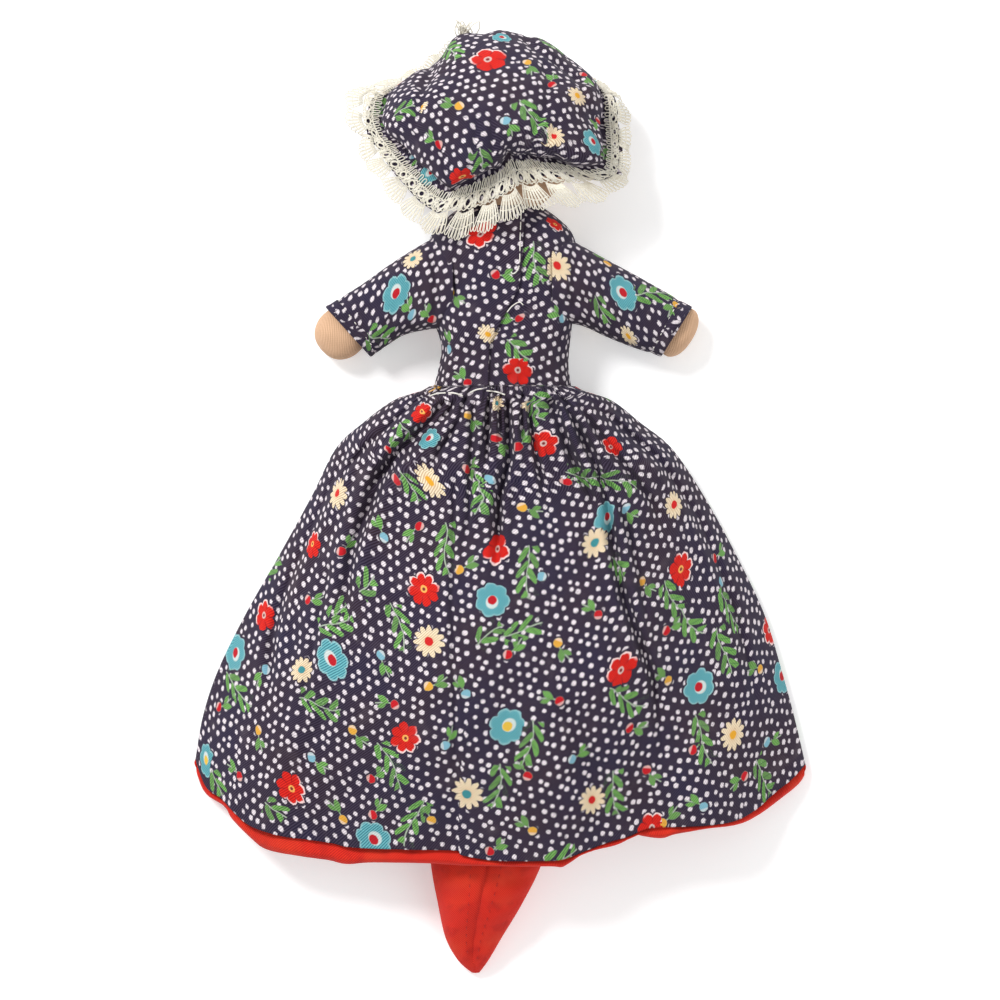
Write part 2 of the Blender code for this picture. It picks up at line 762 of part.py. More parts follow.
def sleeve_stations(length, floor):
    root_low = floor + ARM_DROOP
    root = round_root(SLEEVE_ROOT, root_low, root_low + SLEEVE_ROOT_THICKNESS, SLEEVE_ROOT_ANGLES)
    joint = (0, SLEEVE_ROOT, root_low, root_low + SLEEVE_ROOT_THICKNESS)
    cuff = (length, SLEEVE_CUFF_WIDTH / 2, floor, floor + SLEEVE_CUFF_THICKNESS)
    return [*root, joint, blend(joint, cuff, 1 / 2), cuff]


def blend(a, b, share):
    return tuple(p + (q - p) * share for p, q in zip(a, b))


def arm_stations(sleeve_length, floor, inset, angles):
    """The stuffed arm: full at the root, thinner at the wrist, with a rounded mitten hand."""
    sleeve = DRESS_CLOTH + SEAM_GAP
    radius = SLEEVE_ROOT - sleeve - inset
    low = floor + ARM_DROOP + sleeve + inset
    high = floor + ARM_DROOP + sleeve + UPPER_ARM_THICKNESS - inset
    wrist_low = floor + sleeve
    wrist = WRIST_WIDTH_SHARE * HAND_WIDTH / 2 - inset
    hand = HAND_WIDTH / 2 - inset
    hand_top = wrist_low + HAND_THICKNESS - inset
    tip = ARM_LENGTH - inset
    past_cuff = (ARM_LENGTH - sleeve_length) / 2
    return [
        *round_root(radius, low, high, angles),
        (0, radius, low, high),
        (sleeve_length / 2, (radius + wrist) / 2, (low + wrist_low + inset) / 2, (high + hand_top) / 2),
        (sleeve_length, wrist, wrist_low + inset, hand_top),
        (sleeve_length + past_cuff / 2, hand, wrist_low + inset, hand_top),
        *[
            (tip - back * hand, width * hand, wrist_low + inset + rise * hand, hand_top - drop * hand)
            for back, width, rise, drop in MITTEN_SHARES
        ],
    ]


def make_arm(prefix, side_name, sleeve_length, floor, cloth, parent):
    """A sleeve with its stuffed arm, built along +X from the shoulder joint."""
    middle = Vector((sleeve_length / 2, 0, floor + SLEEVE_CUFF_THICKNESS / 2))
    parts = (
        (f"{prefix}sleeve_{side_name}", sleeve_stations(sleeve_length, floor), ARM_SIDES, cloth, DRESS_CLOTH),
        (
            f"{prefix}arm_{side_name}",
            arm_stations(sleeve_length, floor, 0, ARM_ROOT_ANGLES),
            ARM_SIDES,
            SKIN,
            SKIN_CLOTH,
        ),
        (
            f"{prefix}arm_{side_name}_stuffing",
            arm_stations(sleeve_length, floor, SKIN_CLOTH + SEAM_GAP, STUFFING_ROOT_ANGLES),
            ARM_SIDES,
            STUFFING,
            0,
        ),
    )
    for name, stations, sides, material, cloth_thickness in parts:
        is_arm = material is not cloth
        bm = loft(limb_rings(stations, sides), first_cap=not cloth_thickness, last_cap=is_arm)
        face_away(bm, middle)
        obj = finish_piece(name, bm, material, parent)
        if cloth_thickness:
            sheet_thickness(obj, cloth_thickness)


# Hood

def hood_rows(middle):
    """(distance from the waist, half width, lowest, highest, angle of the lower edge, lean) along the hood."""
    half_width, half_length, half_thickness = head_half_sizes(-HOOD_EASE - DRESS_CLOTH)
    rows = []
    for degrees in HOOD_HEAD_ANGLES:
        turn = direction(degrees)
        low, high = middle.z - half_thickness * turn.y, middle.z + half_thickness * turn.y
        low = max(low, LOWER_FLOOR)
        rows.append((middle.y + half_length * turn.x, half_width * turn.y, low, high, HOOD_OPEN_DEG, 0))
    start = rows[-1]
    hem_drop = SKIRT_LENGTH + LINING_SHOWS_LEFT
    for share, width, thickness, lean in zip(
        HOOD_POINT_SHARES,
        HOOD_POINT_WIDTH_SHARES,
        HOOD_POINT_THICKNESS_SHARES,
        HOOD_POINT_LEAN_SHARES,
    ):
        y = start[0] + (-LOWER_REACH - start[0]) * share
        past_hem = max((-y - hem_drop) / (LOWER_REACH - hem_drop), 0)
        low = LOWER_FLOOR + (SEAM_GAP - LOWER_FLOOR) * min(1, past_hem / HOOD_SINK_SHARE)
        edge = max(-90, HOOD_OPEN_DEG - (90 + HOOD_OPEN_DEG) * share / HOOD_CLOSED_SHARE)
        high = low + HOOD_HEM_THICKNESS * thickness
        rows.append((y, HOOD_HEM_WIDTH / 2 * width, low, high, edge, lean * HOOD_LEAN))
    return rows


def make_hood(middle, parent):
    """Two halves sewn along the middle of the back, open at the face and closed towards the point."""
    for name, side in (("hood_right", 1), ("hood_left", -1)):
        rings = []
        for y, half_width, low, high, edge, lean in hood_rows(middle):
            centre, half = (low + high) / 2, (high - low) / 2
            start = math.radians(edge)
            angles = [start + (math.pi / 2 - start) * i / HOOD_SIDES for i in range(HOOD_SIDES + 1)]
            points = [section_point(half_width, half, a, centre) for a in angles]
            rings.append([(lean + side * max(x, HALF_SEAM), y, z) for x, z in points])
        inside = (0, middle.y, middle.z)
        bm = loft(rings, closed=False)
        obj = add_piece(name, bm, RED, parent, outwards_from=inside)
        sheet_thickness(obj, DRESS_CLOTH)


def armhole(name, towards, side, slope, raise_deg, lower_deg):
    """The notch that an arm turns in, through the body and the bodice."""
    pivot = arm_joint(towards, side)
    base = 0 if side > 0 else 180
    rest = base - side * towards * slope
    directions = (rest + side * towards * raise_deg, rest - side * towards * lower_deg)
    outline = swept_outline(pivot.xy, SLEEVE_ROOT + SEAM_GAP, ARM_LENGTH, directions)
    high = TORSO_MIDDLE + TORSO_THICKNESS + CUT_OVERRUN
    return new_cutter(name, outline, -CUT_OVERRUN, high, DOLL)


def shoulder_empty(name, towards, side, slope):
    turn = math.radians((0 if side > 0 else 180) - side * towards * slope)
    return new_empty(name, DOLL, arm_joint(towards, side), turn)


def make_upper_doll():
    """The doll that the photograph shows, as far as the waist."""
    right = armhole("armhole_right", 1, 1, ARM_SLOPE_RIGHT_DEG, ARM_RAISE_DEG, ARM_LOWER_DEG)
    left = armhole("armhole_left", 1, -1, ARM_SLOPE_LEFT_DEG, ARM_RAISE_DEG, ARM_LOWER_DEG)
    for name, side, slope, length in (
        ("right", 1, ARM_SLOPE_RIGHT_DEG, SLEEVE_LENGTH_RIGHT),
        ("left", -1, ARM_SLOPE_LEFT_DEG, SLEEVE_LENGTH_LEFT),
    ):
        joint = shoulder_empty(f"shoulder_{name}", 1, side, slope)
        make_arm("", name, length, SEAM_GAP, CALICO, joint)
    neck = new_empty("neck", DOLL, (0, NECK_PIVOT, 0))
    middle = Vector((0, HEAD_RISE, HEAD_THICKNESS / 2 - FACE_FLAT))
    pocket = neck_pocket("neck_pocket", 1, HEAD_TILT_DEG)
    make_head("head", middle, 0, pocket, neck, HEAD_SEGMENTS)
    make_cap(middle, neck)
    return right, left


def make_lower_doll():
    """The second doll, upside down under the skirt, with a pointed hood."""
    holes = []
    for name, side in (("right", 1), ("left", -1)):
        swing = LOWER_ARM_SWING_DEG
        hole = armhole(f"lower_armhole_{name}", -1, side, -LOWER_ARM_SLOPE_DEG, swing, swing)
        holes.append(hole)
        joint = shoulder_empty(f"lower_shoulder_{name}", -1, side, -LOWER_ARM_SLOPE_DEG)
        make_arm("lower_", name, SLEEVE_LENGTH_LEFT, LOWER_FLOOR, RED, joint)
    neck = new_empty("lower_neck", DOLL, (0, -NECK_PIVOT, 0))
    floor = LOWER_FLOOR + DRESS_CLOTH + HOOD_EASE
    middle = Vector((0, -HEAD_RISE, floor + HEAD_THICKNESS / 2 - FACE_FLAT))
    pocket = neck_pocket("lower_neck_pocket", -1, HOOD_TILT_DEG)
    make_head("lower_head", middle, floor, pocket, neck, LOWER_HEAD_SEGMENTS)
    make_hood(middle, neck)
    return tuple(holes)


def make_doll():
    upper_holes = make_upper_doll()
    lower_holes = make_lower_doll()
    make_torso((*upper_holes, *lower_holes))
    make_bodices(upper_holes, lower_holes)
    make_waist_thread()
    make_skirt()


clear_scene()
PIECES = new_collection("cloth_doll")
CUTTERS = new_collection("cutters")
SKIN = new_material("skin_cotton", SKIN_TONE)
STUFFING = new_material("stuffing", STUFFING_WHITE)
CALICO = new_material("calico", CALICO_NAVY)
RED = new_material("red_cotton", COTTON_RED)
LACE = new_material("lace", LACE_CREAM)
THREAD = new_material("thread", THREAD_WHITE)
DOLL = new_empty("doll", location=(0, WAIST_SHIFT, 0))
make_doll()
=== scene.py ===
"""A well-loved cloth doll with a second doll under its reversible skirt, lying face down."""

import math

import bpy
import numpy as np
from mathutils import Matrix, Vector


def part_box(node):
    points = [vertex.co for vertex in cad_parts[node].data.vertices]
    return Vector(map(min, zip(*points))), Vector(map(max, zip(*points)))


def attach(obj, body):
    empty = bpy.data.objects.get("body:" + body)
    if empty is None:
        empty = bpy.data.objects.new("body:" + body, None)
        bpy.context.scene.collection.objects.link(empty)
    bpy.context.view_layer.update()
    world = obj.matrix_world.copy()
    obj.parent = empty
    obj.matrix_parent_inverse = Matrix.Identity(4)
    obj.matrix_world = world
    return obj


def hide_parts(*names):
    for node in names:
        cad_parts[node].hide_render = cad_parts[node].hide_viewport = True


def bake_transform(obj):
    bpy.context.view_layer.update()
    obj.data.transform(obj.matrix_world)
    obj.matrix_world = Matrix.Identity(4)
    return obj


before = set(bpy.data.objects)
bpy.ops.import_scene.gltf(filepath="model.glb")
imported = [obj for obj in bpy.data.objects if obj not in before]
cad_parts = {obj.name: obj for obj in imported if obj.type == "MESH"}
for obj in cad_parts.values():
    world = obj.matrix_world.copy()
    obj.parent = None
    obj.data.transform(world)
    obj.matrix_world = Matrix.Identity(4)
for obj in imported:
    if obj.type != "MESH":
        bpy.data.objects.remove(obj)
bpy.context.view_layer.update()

# The photograph: pixels to a metre, and the pixel over the origin
PHOTO_SCALE = 3000
PHOTO_MIDDLE = (502.5, 498.5)
PHOTO_CENTRE = (500, 500)
MM = 0.001

WAIST = float(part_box("skirt")[1][1])
SECTION_POWER = 2.5
TORSO_MIDDLE = 0.0159
# the thickness of the dress's cloth and of the cap's
CLOTH = 0.0008
CAP_CLOTH = 0.0007
# the row of a sleeve's rings that its hem is sewn along
HEM_ROW = 57
# the lower head's soft top is this much under its solid's
LOWER_HEAD_DROP = 0.0036
# the lower shoulders, out from the middle and down from the waist
SHOULDER_OUT, LOWER_SHOULDER = 0.029, 0.0343
# cloth is on a piece's upper side if it is near the highest point of its cell: size of a cell, and depth
UPPER_CELL, UPPER_DEPTH = 0.003, 0.008
# half the thickness of each thread
RADIUS = {
    "lace": 0.00018, "elastic": 0.0005, "waist": 0.00026, "bodice": 0.00019, "sleeve": 0.00016, "hood": 0.00014,
    "eye": 0.00020, "mouth": 0.00024,
}


def at(x, y):
    return (x - PHOTO_MIDDLE[0]) / PHOTO_SCALE, (PHOTO_MIDDLE[1] - y) / PHOTO_SCALE


def line(*pixels):
    return np.array([at(*p) for p in pixels])


# Node trees written as sums

class Wire:
    """A value in a node tree, with arithmetic that adds the nodes for it."""

    def __init__(self, tree, socket):
        self.tree, self.socket = tree, socket

    def plug(self, target, value):
        if isinstance(value, Wire):
            self.tree.links.new(value.socket, target)
        else:
            target.default_value = value

    def math(self, operation, *others, clamp=False):
        node = self.tree.nodes.new("ShaderNodeMath")
        node.operation = operation
        node.use_clamp = clamp
        for target, value in zip(node.inputs, (self, *others)):
            self.plug(target, value)
        return Wire(self.tree, node.outputs[0])

    def __add__(self, other):
        return self.math("ADD", other)

    __radd__ = __add__

    def __sub__(self, other):
        return self.math("SUBTRACT", other)

    def __rsub__(self, other):
        return (self * -1).math("ADD", other)

    def __mul__(self, other):
        return self.math("MULTIPLY", other)

    __rmul__ = __mul__

    def __truediv__(self, other):
        return self.math("DIVIDE", other)

    def __neg__(self):
        return self * -1

    def below(self, limit, soft):
        """1 where this is below the limit, 0 where above, with a soft step between."""
        return ((self - limit) * (-1 / soft)).math("ADD", 0.5, clamp=True)

    def between(self, low, high):
        return self.math("GREATER_THAN", low) * self.math("LESS_THAN", high)

    def sin(self):
        return self.math("SINE")

    def abs(self):
        return self.math("ABSOLUTE")

    def power(self, exponent):
        return self.math("POWER", exponent)

    def either(self, other):
        return self.math("MAXIMUM", other)

    def clamp(self):
        return self.math("ADD", 0, clamp=True)


class Paint:
    """One cloth's material while its nodes are laid out."""

    def __init__(self, name):
        self.material = bpy.data.materials.new(name)
        self.material.use_nodes = True
        self.tree = self.material.node_tree
        self.shader = self.tree.nodes["Principled BSDF"]

    def node(self, kind, **settings):
        made = self.tree.nodes.new(kind)
        for key, value in settings.items():
            setattr(made, key, value)
        return made

    def split(self, socket):
        node = self.node("ShaderNodeSeparateXYZ")
        self.tree.links.new(socket, node.inputs[0])
        return [Wire(self.tree, out) for out in node.outputs]

    def join(self, x, y, z=0.0):
        node = self.node("ShaderNodeCombineXYZ")
        for target, value in zip(node.inputs, (x, y, z)):
            if isinstance(value, Wire):
                self.tree.links.new(value.socket, target)
            else:
                target.default_value = value
        return Wire(self.tree, node.outputs[0])

    def cloth_place(self):
        """Place on the flat cloth, across and along, in millimetres."""
        node = self.node("ShaderNodeUVMap", uv_map="cloth")
        across, along, _ = self.split(node.outputs[0])
        return across * 1000, along * 1000

    def attribute(self, name):
        node = self.node("ShaderNodeAttribute", attribute_name=name)
        return self.split(node.outputs["Vector"])

    def noise(self, place, scale, detail=2.0, rough=0.5):
        node = self.node("ShaderNodeTexNoise")
        self.tree.links.new(place.socket, node.inputs["Vector"])
        node.inputs["Scale"].default_value = scale
        node.inputs["Detail"].default_value = detail
        node.inputs["Roughness"].default_value = rough
        return Wire(self.tree, node.outputs[0])

    def chances(self, place):
        """Three numbers from 0 to 1, fixed for each place."""
        node = self.node("ShaderNodeTexWhiteNoise", noise_dimensions="2D")
        self.tree.links.new(place.socket, node.inputs["Vector"])
        return self.split(node.outputs["Color"])

    def solid_place(self):
        node = self.node("ShaderNodeNewGeometry")
        return Wire(self.tree, node.outputs["Position"])

    def mix(self, share, first, second, kind="MIX"):
        """The second colour over the first, by the share."""
        node = self.node("ShaderNodeMix", data_type="RGBA", blend_type=kind)
        for target, value in zip((node.inputs[0], node.inputs[6], node.inputs[7]), (share, first, second)):
            if isinstance(value, Wire):
                self.tree.links.new(value.socket, target)
            elif isinstance(value, tuple):
                target.default_value = (*value, 1)
            else:
                target.default_value = value
        return Wire(self.tree, node.outputs[2])

    def finish(self, colour, relief, relief_height, roughness=0.9, sheen=0.04):
        self.tree.links.new(colour.socket, self.shader.inputs["Base Color"])
        bump = self.node("ShaderNodeBump")
        bump.inputs["Strength"].default_value = 1
        bump.inputs["Distance"].default_value = relief_height
        self.tree.links.new(relief.socket, bump.inputs["Height"])
        self.tree.links.new(bump.outputs[0], self.shader.inputs["Normal"])
        if isinstance(roughness, Wire):
            self.tree.links.new(roughness.socket, self.shader.inputs["Roughness"])
        else:
            self.shader.inputs["Roughness"].default_value = roughness
        self.shader.inputs["Sheen Weight"].default_value = sheen
        self.shader.inputs["Sheen Roughness"].default_value = 0.6
        self.shader.inputs["Specular IOR Level"].default_value = 0.15
        return self.material


TURN = 2 * math.pi
# the print, in mm: its pin dots and the leaves of its sprays
DOT_PITCH, DOT_ROW, DOT_TURN = 3.5, 3.05, 0.35
LEAF_PITCH, LEAF_LONG, LEAF_WIDE, LEAF_LEAN = 4.9, 4.5, 3.1, 0.95


def twill(paint, across, along, pitch, lean=1):
    """Ribs that run down the cloth at a slant, with the unevenness of spun yarn, from 0 to 1."""
    wobble = paint.noise(paint.join(across, along), 0.35, 2) * 0.5
    ribs = ((across + along * lean) * (0.7071 / pitch) + wobble).math("MULTIPLY", TURN).sin()
    cross = ((across - along * lean) * (0.7071 / pitch)).math("MULTIPLY", TURN).sin()
    return ribs * 0.42 + cross * ribs.abs() * 0.10 + 0.5


def pin_dots(paint, across, along, uneven):
    """Distance from the nearest pin dot, in mm: staggered rows, each dot a little out of its place."""
    turn_c, turn_s = math.cos(DOT_TURN), math.sin(DOT_TURN)
    u = (across * turn_c + along * turn_s) * (1 / DOT_PITCH)
    v = (along * turn_c - across * turn_s) * (1 / DOT_ROW)
    row = v.math("FLOOR")
    u = u + (row * 0.5).math("FRACT")
    column = u.math("FLOOR")
    jog_u, jog_v, size = paint.chances(paint.join(column, row))
    away_u = (u - column - 0.5 - (jog_u - 0.5) * 0.50) * DOT_PITCH
    away_v = (v - row - 0.5 - (jog_v - 0.5) * 0.42) * DOT_ROW
    away = (away_u.abs().power(2.5) + away_v.abs().power(2.5)).power(0.4)
    return away + (size - 0.5) * 0.22 + uneven


def leaf_shape(u, v, long, wide):
    """1 inside a leaf pointed at both ends, from its middle, in mm."""
    return (v.abs() - (1 - (u / long) * (u / long)) * wide).below(0, 0.25)


def calico_material():
    """Navy twill with staggered pin dots, red, teal and cream flowers, leaf sprays and buds."""
    paint = Paint("calico_print")
    across, along = paint.cloth_place()
    place = paint.join(across, along)
    ribs = twill(paint, across, along, 0.66)
    patches = paint.noise(place, 0.045, 4)
    fuzz = paint.noise(place, 2.6, 2)
    ground = paint.mix((patches * 2.4 - 0.7).clamp(), (0.013, 0.011, 0.034), (0.027, 0.013, 0.018))
    ground = paint.mix((ribs * 1.3 - 0.3).clamp() * 0.6, ground, (0.085, 0.066, 0.110))
    away = pin_dots(paint, across, along, (fuzz - 0.5) * 0.8)
    dot = away.below(0.755, 0.30)
    dot_worn = (paint.noise(place, 0.8, 3) * 3.0 - 0.35).clamp()
    dot_white = paint.mix((ribs * 1.2).clamp(), (0.50, 0.42, 0.47), (0.86, 0.80, 0.83))
    # motifs, each in its own place: (x, y) from its middle in mm, and kind + chance
    flower_x, flower_y, code = paint.attribute("bloom")
    x, y = flower_x * 1000, flower_y * 1000
    ragged = (paint.noise(place, 0.75, 4) - 0.5) * 1.8
    kind = code.math("FLOOR")
    chance = code.math("FRACT")
    r = (x * x + y * y).math("SQRT")
    angle = y.math("ARCTAN2", x)

    def is_kind(number):
        return kind.math("COMPARE", number, 0.5)

    hatch = (ribs * 1.5 - 0.15).clamp()
    # red flowers of five to eight petals, pale along a part of their rim
    petals = (angle * ((chance * 3.99).math("FLOOR") * 0.5 + 2.5)).sin().abs()
    red_edge = petals.power(0.6) * 1.5 + 3.9 + ragged * 0.8
    red_in = r.below(red_edge, 0.25)
    crease = petals.below(0.16, 0.2) * (r - 1.6).clamp()
    rim = (red_edge - r).below(0.60, 0.4) * ((angle + chance * 20).sin() * 2.0 + ragged + 0.3).clamp()
    red = paint.mix(hatch, (0.42, 0.006, 0.006), (0.74, 0.022, 0.012))
    red = paint.mix(crease * 0.7, red, (0.22, 0.004, 0.007))
    red = paint.mix((paint.noise(place, 0.42, 3) * 3 - 1.7).clamp() * 0.5, red, (0.28, 0.004, 0.008))
    red = paint.mix(rim * 0.9, red, (0.88, 0.70, 0.68))
    red_eye = paint.mix(chance.math("GREATER_THAN", 0.55), (0.62, 0.42, 0.38), (0.85, 0.42, 0.10))
    red = paint.mix((r + ragged * 0.3).below(1.15, 0.25), red, red_eye)
    red = paint.mix(r.below(0.55, 0.3), red, (0.20, 0.03, 0.03))
    # teal flowers
    teal_edge = (angle * 3.5 + chance * 5).sin().abs().power(0.6) * 1.2 + 4.9 + ragged * 0.6
    teal_in = r.below(teal_edge, 0.25)
    teal = paint.mix(hatch, (0.035, 0.16, 0.21), (0.15, 0.46, 0.50))
    teal = paint.mix((teal_edge - r).below(0.5, 0.4) * 0.45, teal, (0.45, 0.66, 0.66))
    ring = (r + x * 0.3).below(2.1, 0.4)
    teal = paint.mix(ring * 0.75, teal, (0.72, 0.74, 0.70))
    teal_eye = paint.mix(chance.math("GREATER_THAN", 0.72), (0.46, 0.012, 0.02), (0.72, 0.46, 0.06))
    teal = paint.mix((r + ragged * 0.4).below(1.6, 0.3), teal, teal_eye)
    # cream daisies with cut petals
    daisy_edge = (angle * 5.5 + chance * 7).sin().abs().power(0.7) * 2.2 + 3.1 + ragged * 1.0
    daisy_in = r.below(daisy_edge, 0.25)
    daisy = paint.mix(hatch, (0.54, 0.38, 0.24), (0.90, 0.78, 0.56))
    daisy = paint.mix(r.below(2.3, 1.4) * 0.3, daisy, (0.66, 0.40, 0.18))
    eye = paint.mix(chance.math("GREATER_THAN", 0.45), (0.60, 0.02, 0.02), (0.74, 0.36, 0.03))
    eye = paint.mix(chance.math("GREATER_THAN", 0.80), eye, (0.05, 0.26, 0.29))
    daisy = paint.mix((r + ragged * 0.4).below(1.45, 0.3), daisy, eye)
    # leaf sprays along x, with leaves in turn on each side of a thin stem and a few left out
    bend = (x * 0.24 + chance * 40).sin() * 1.3
    t = y - bend
    side = t.math("GREATER_THAN", 0)
    lean_c, lean_s = math.cos(LEAF_LEAN), math.sin(LEAF_LEAN)
    order = (x - t.abs() * (lean_c / lean_s) + side * (LEAF_PITCH / 2)) * (1 / LEAF_PITCH)
    nearest = order.math("ROUND")
    leaf_v = (order - nearest) * (LEAF_PITCH * lean_s)
    leaf_u = (t.abs() - leaf_v * lean_c) * (1 / lean_s) - LEAF_LONG / 2
    kept, tone, _ = paint.chances(paint.join(nearest + side * 7, chance * 90))
    reach = chance * 5 + 3.5
    leaf = leaf_shape(leaf_u, leaf_v, LEAF_LONG / 2, LEAF_WIDE / 2 + ragged * 0.35)
    leaf = leaf * kept.math("GREATER_THAN", 0.16) * (x.abs() - reach).below(0, 0.3)
    stem = t.abs().below(0.24, 0.2) * (x.abs() - reach).below(0.6, 0.3)
    green = paint.mix(hatch, (0.05, 0.15, 0.03), (0.21, 0.47, 0.12))
    green = paint.mix((tone * 2 - 1).clamp() * 0.55, green, (0.10, 0.17, 0.07))
    pale = (0.36, 0.42, 0.33)
    spray = paint.mix(leaf_v.abs().below(0.14, 0.2) * 0.5, green, (0.03, 0.08, 0.04))
    spray = paint.mix(leaf.math("LESS_THAN", 0.5), spray, pale)
    spray_in = leaf.either(stem)
    # buds: a round head, two leaves and a thin stem along x
    bud = (r + ragged * 0.4).below(1.55, 0.3)
    leaf_one = leaf_shape(x * 0.9 + y * 0.43 - 4.3, y * 0.9 - x * 0.43 + 0.7, 2.3, 1.1 + ragged * 0.3)
    leaf_two = leaf_shape(x * 0.9 - y * 0.43 - 4.6, y * 0.9 + x * 0.43 - 1.2, 1.7, 0.8 + ragged * 0.3)
    bud_stem = (y - (x * 0.6).sin() * 0.4).abs().below(0.22, 0.18) * x.between(0.8, 7.0)
    bud_head = paint.mix(chance.math("GREATER_THAN", 0.35), (0.52, 0.012, 0.02), (0.70, 0.36, 0.05))
    bud_head = paint.mix(chance.math("GREATER_THAN", 0.65), bud_head, (0.20, 0.42, 0.52))
    bud_head = paint.mix((x * 0.7 + y).below(-0.7, 0.4) * 0.5, bud_head, (0.80, 0.72, 0.68))
    bud_leaf = leaf_one.either(leaf_two)
    bud_paint = paint.mix(bud, paint.mix(bud_leaf, pale, green), bud_head)
    bud_in = bud.either(bud_leaf).either(bud_stem)
    motifs = (
        (1, red_in, red), (2, teal_in, teal), (3, daisy_in, daisy),
        (4, spray_in, spray), (5, bud_in, bud_paint),
    )
    clear = is_kind(5) * r.below(2.2, 0.4).either(bud_leaf)
    for number, edge in ((1, red_edge), (2, teal_edge), (3, daisy_edge)):
        clear = clear.either(r.below(edge + 0.8, 0.4) * is_kind(number))
    clear = clear.either(is_kind(4) * spray_in)
    colour = paint.mix(dot * dot_worn * (1 - clear), ground, dot_white)
    worn = (paint.noise(place, 0.5, 4) * 4 - 0.4).clamp()
    for number, inside, motif in motifs:
        colour = paint.mix(inside * is_kind(number) * worn, colour, motif)
    rubbed = (paint.noise(place, 0.09, 5) * 5 - 3.0).clamp() * 0.14
    colour = paint.mix(rubbed, colour, (0.30, 0.25, 0.28))
    return paint.finish(colour, ribs * 0.75 + fuzz * 0.25, 0.00014)


def red_material():
    """Turkey red twill, darker in scattered patches and lighter, more orange in others."""
    paint = Paint("red_twill")
    across, along = paint.cloth_place()
    place = paint.join(across, along)
    ribs = twill(paint, across, along, 0.55)
    fuzz = paint.noise(place, 2.4, 3)
    patches = paint.noise(place, 0.11, 5, 0.6)
    colour = paint.mix(ribs, (0.46, 0.010, 0.007), (0.80, 0.034, 0.016))
    colour = paint.mix((patches * 3.4 - 1.75).clamp() * 0.55, colour, (0.17, 0.006, 0.012))
    colour = paint.mix((paint.noise(place, 0.06, 3) * 3 - 1.4).clamp() * 0.35, colour, (0.80, 0.09, 0.03))
    colour = paint.mix((fuzz * 3 - 1.9).clamp() * 0.3, colour, (0.85, 0.22, 0.14))
    return paint.finish(colour, ribs * 0.7 + fuzz * 0.3, 0.00014)


def skin_material():
    """Unbleached brown cotton twill with soft soiling."""
    paint = Paint("skin_twill")
    across, along = paint.cloth_place()
    place = paint.join(across, along)
    ribs = twill(paint, across, along, 0.62)
    fuzz = paint.noise(place, 2.2, 3)
    patches = paint.noise(place, 0.12, 4)
    colour = paint.mix(ribs, (0.50, 0.29, 0.17), (0.80, 0.53, 0.345))
    colour = paint.mix((patches * 3 - 1.2).clamp() * 0.35, colour, (0.55, 0.34, 0.21))
    colour = paint.mix((fuzz * 3 - 1.9).clamp() * 0.3, colour, (0.90, 0.70, 0.52))
    return paint.finish(colour, ribs * 0.75 + fuzz * 0.25, 0.00016)


def thread_material(name, dark, light, soil):
    """Twisted cotton thread."""
    paint = Paint(name)
    place = paint.solid_place()
    twist = paint.noise(place, 2600, 2)
    dirt = paint.noise(place, 160, 3)
    colour = paint.mix((twist * 2 - 0.5).clamp(), dark, light)
    colour = paint.mix((dirt * 3 - 1.5).clamp() * 0.5, colour, soil)
    return paint.finish(colour, twist, 0.00006, 0.85)


def floor_material():
    """White paper, lit from behind so that shadows on it stay light."""
    paint = Paint("studio_floor")
    grain = paint.noise(paint.solid_place(), 900, 2)
    colour = paint.mix(grain, (0.86, 0.86, 0.86), (0.90, 0.90, 0.90))
    paint.shader.inputs["Emission Color"].default_value = (1, 1, 1, 1)
    paint.shader.inputs["Emission Strength"].default_value = 0.32
    return paint.finish(colour, grain, 0.00001, 0.95, 0.0)


CALICO = calico_material()
RED = red_material()
SKIN = skin_material()
LACE = thread_material("lace_cotton", (0.74, 0.68, 0.54), (0.95, 0.93, 0.85), (0.62, 0.54, 0.40))
RED_THREAD = thread_material("red_thread", (0.34, 0.01, 0.01), (0.62, 0.03, 0.02), (0.25, 0.01, 0.01))
DARK_THREAD = thread_material("dark_thread", (0.02, 0.012, 0.01), (0.07, 0.045, 0.035), (0.03, 0.02, 0.02))
THREAD = thread_material("sewing_thread", (0.70, 0.66, 0.58), (0.93, 0.91, 0.86), (0.55, 0.48, 0.40))


# Shapes

def ripple(x, y, size, seed, waves=7):
    """An even, irregular swell over the plane, about 1 high, from a fixed seed."""
    chance = np.random.default_rng(seed)
    total = np.zeros(np.broadcast(x, y).shape)
    for _ in range(waves):
        heading, phase = chance.uniform(0, TURN, 2)
        pull = TURN / size * chance.uniform(0.7, 1.4)
        total += np.sin(pull * (x * math.cos(heading) + y * math.sin(heading)) + phase)
    return total / math.sqrt(waves / 2)


def smooth_rows(table, count):
    """The rows of a table with even steps between them, by a curve through each."""
    table = np.array(table, float)
    last = len(table) - 1
    ts = np.linspace(0, last, count)
    i = np.minimum(ts.astype(int), last - 1)
    f = (ts - i)[:, None]
    p0, p1 = table[np.maximum(i - 1, 0)], table[i]
    p2, p3 = table[i + 1], table[np.minimum(i + 2, last)]
    a = 2 * p1
    b = p2 - p0
    c = 2 * p0 - 5 * p1 + 4 * p2 - p3
    d = -p0 + 3 * p1 - 3 * p2 + p3
    return (a + b * f + c * f**2 + d * f**3) / 2


def step(t):
    t = np.clip(t, 0, 1)
    return t * t * (3 - 2 * t)


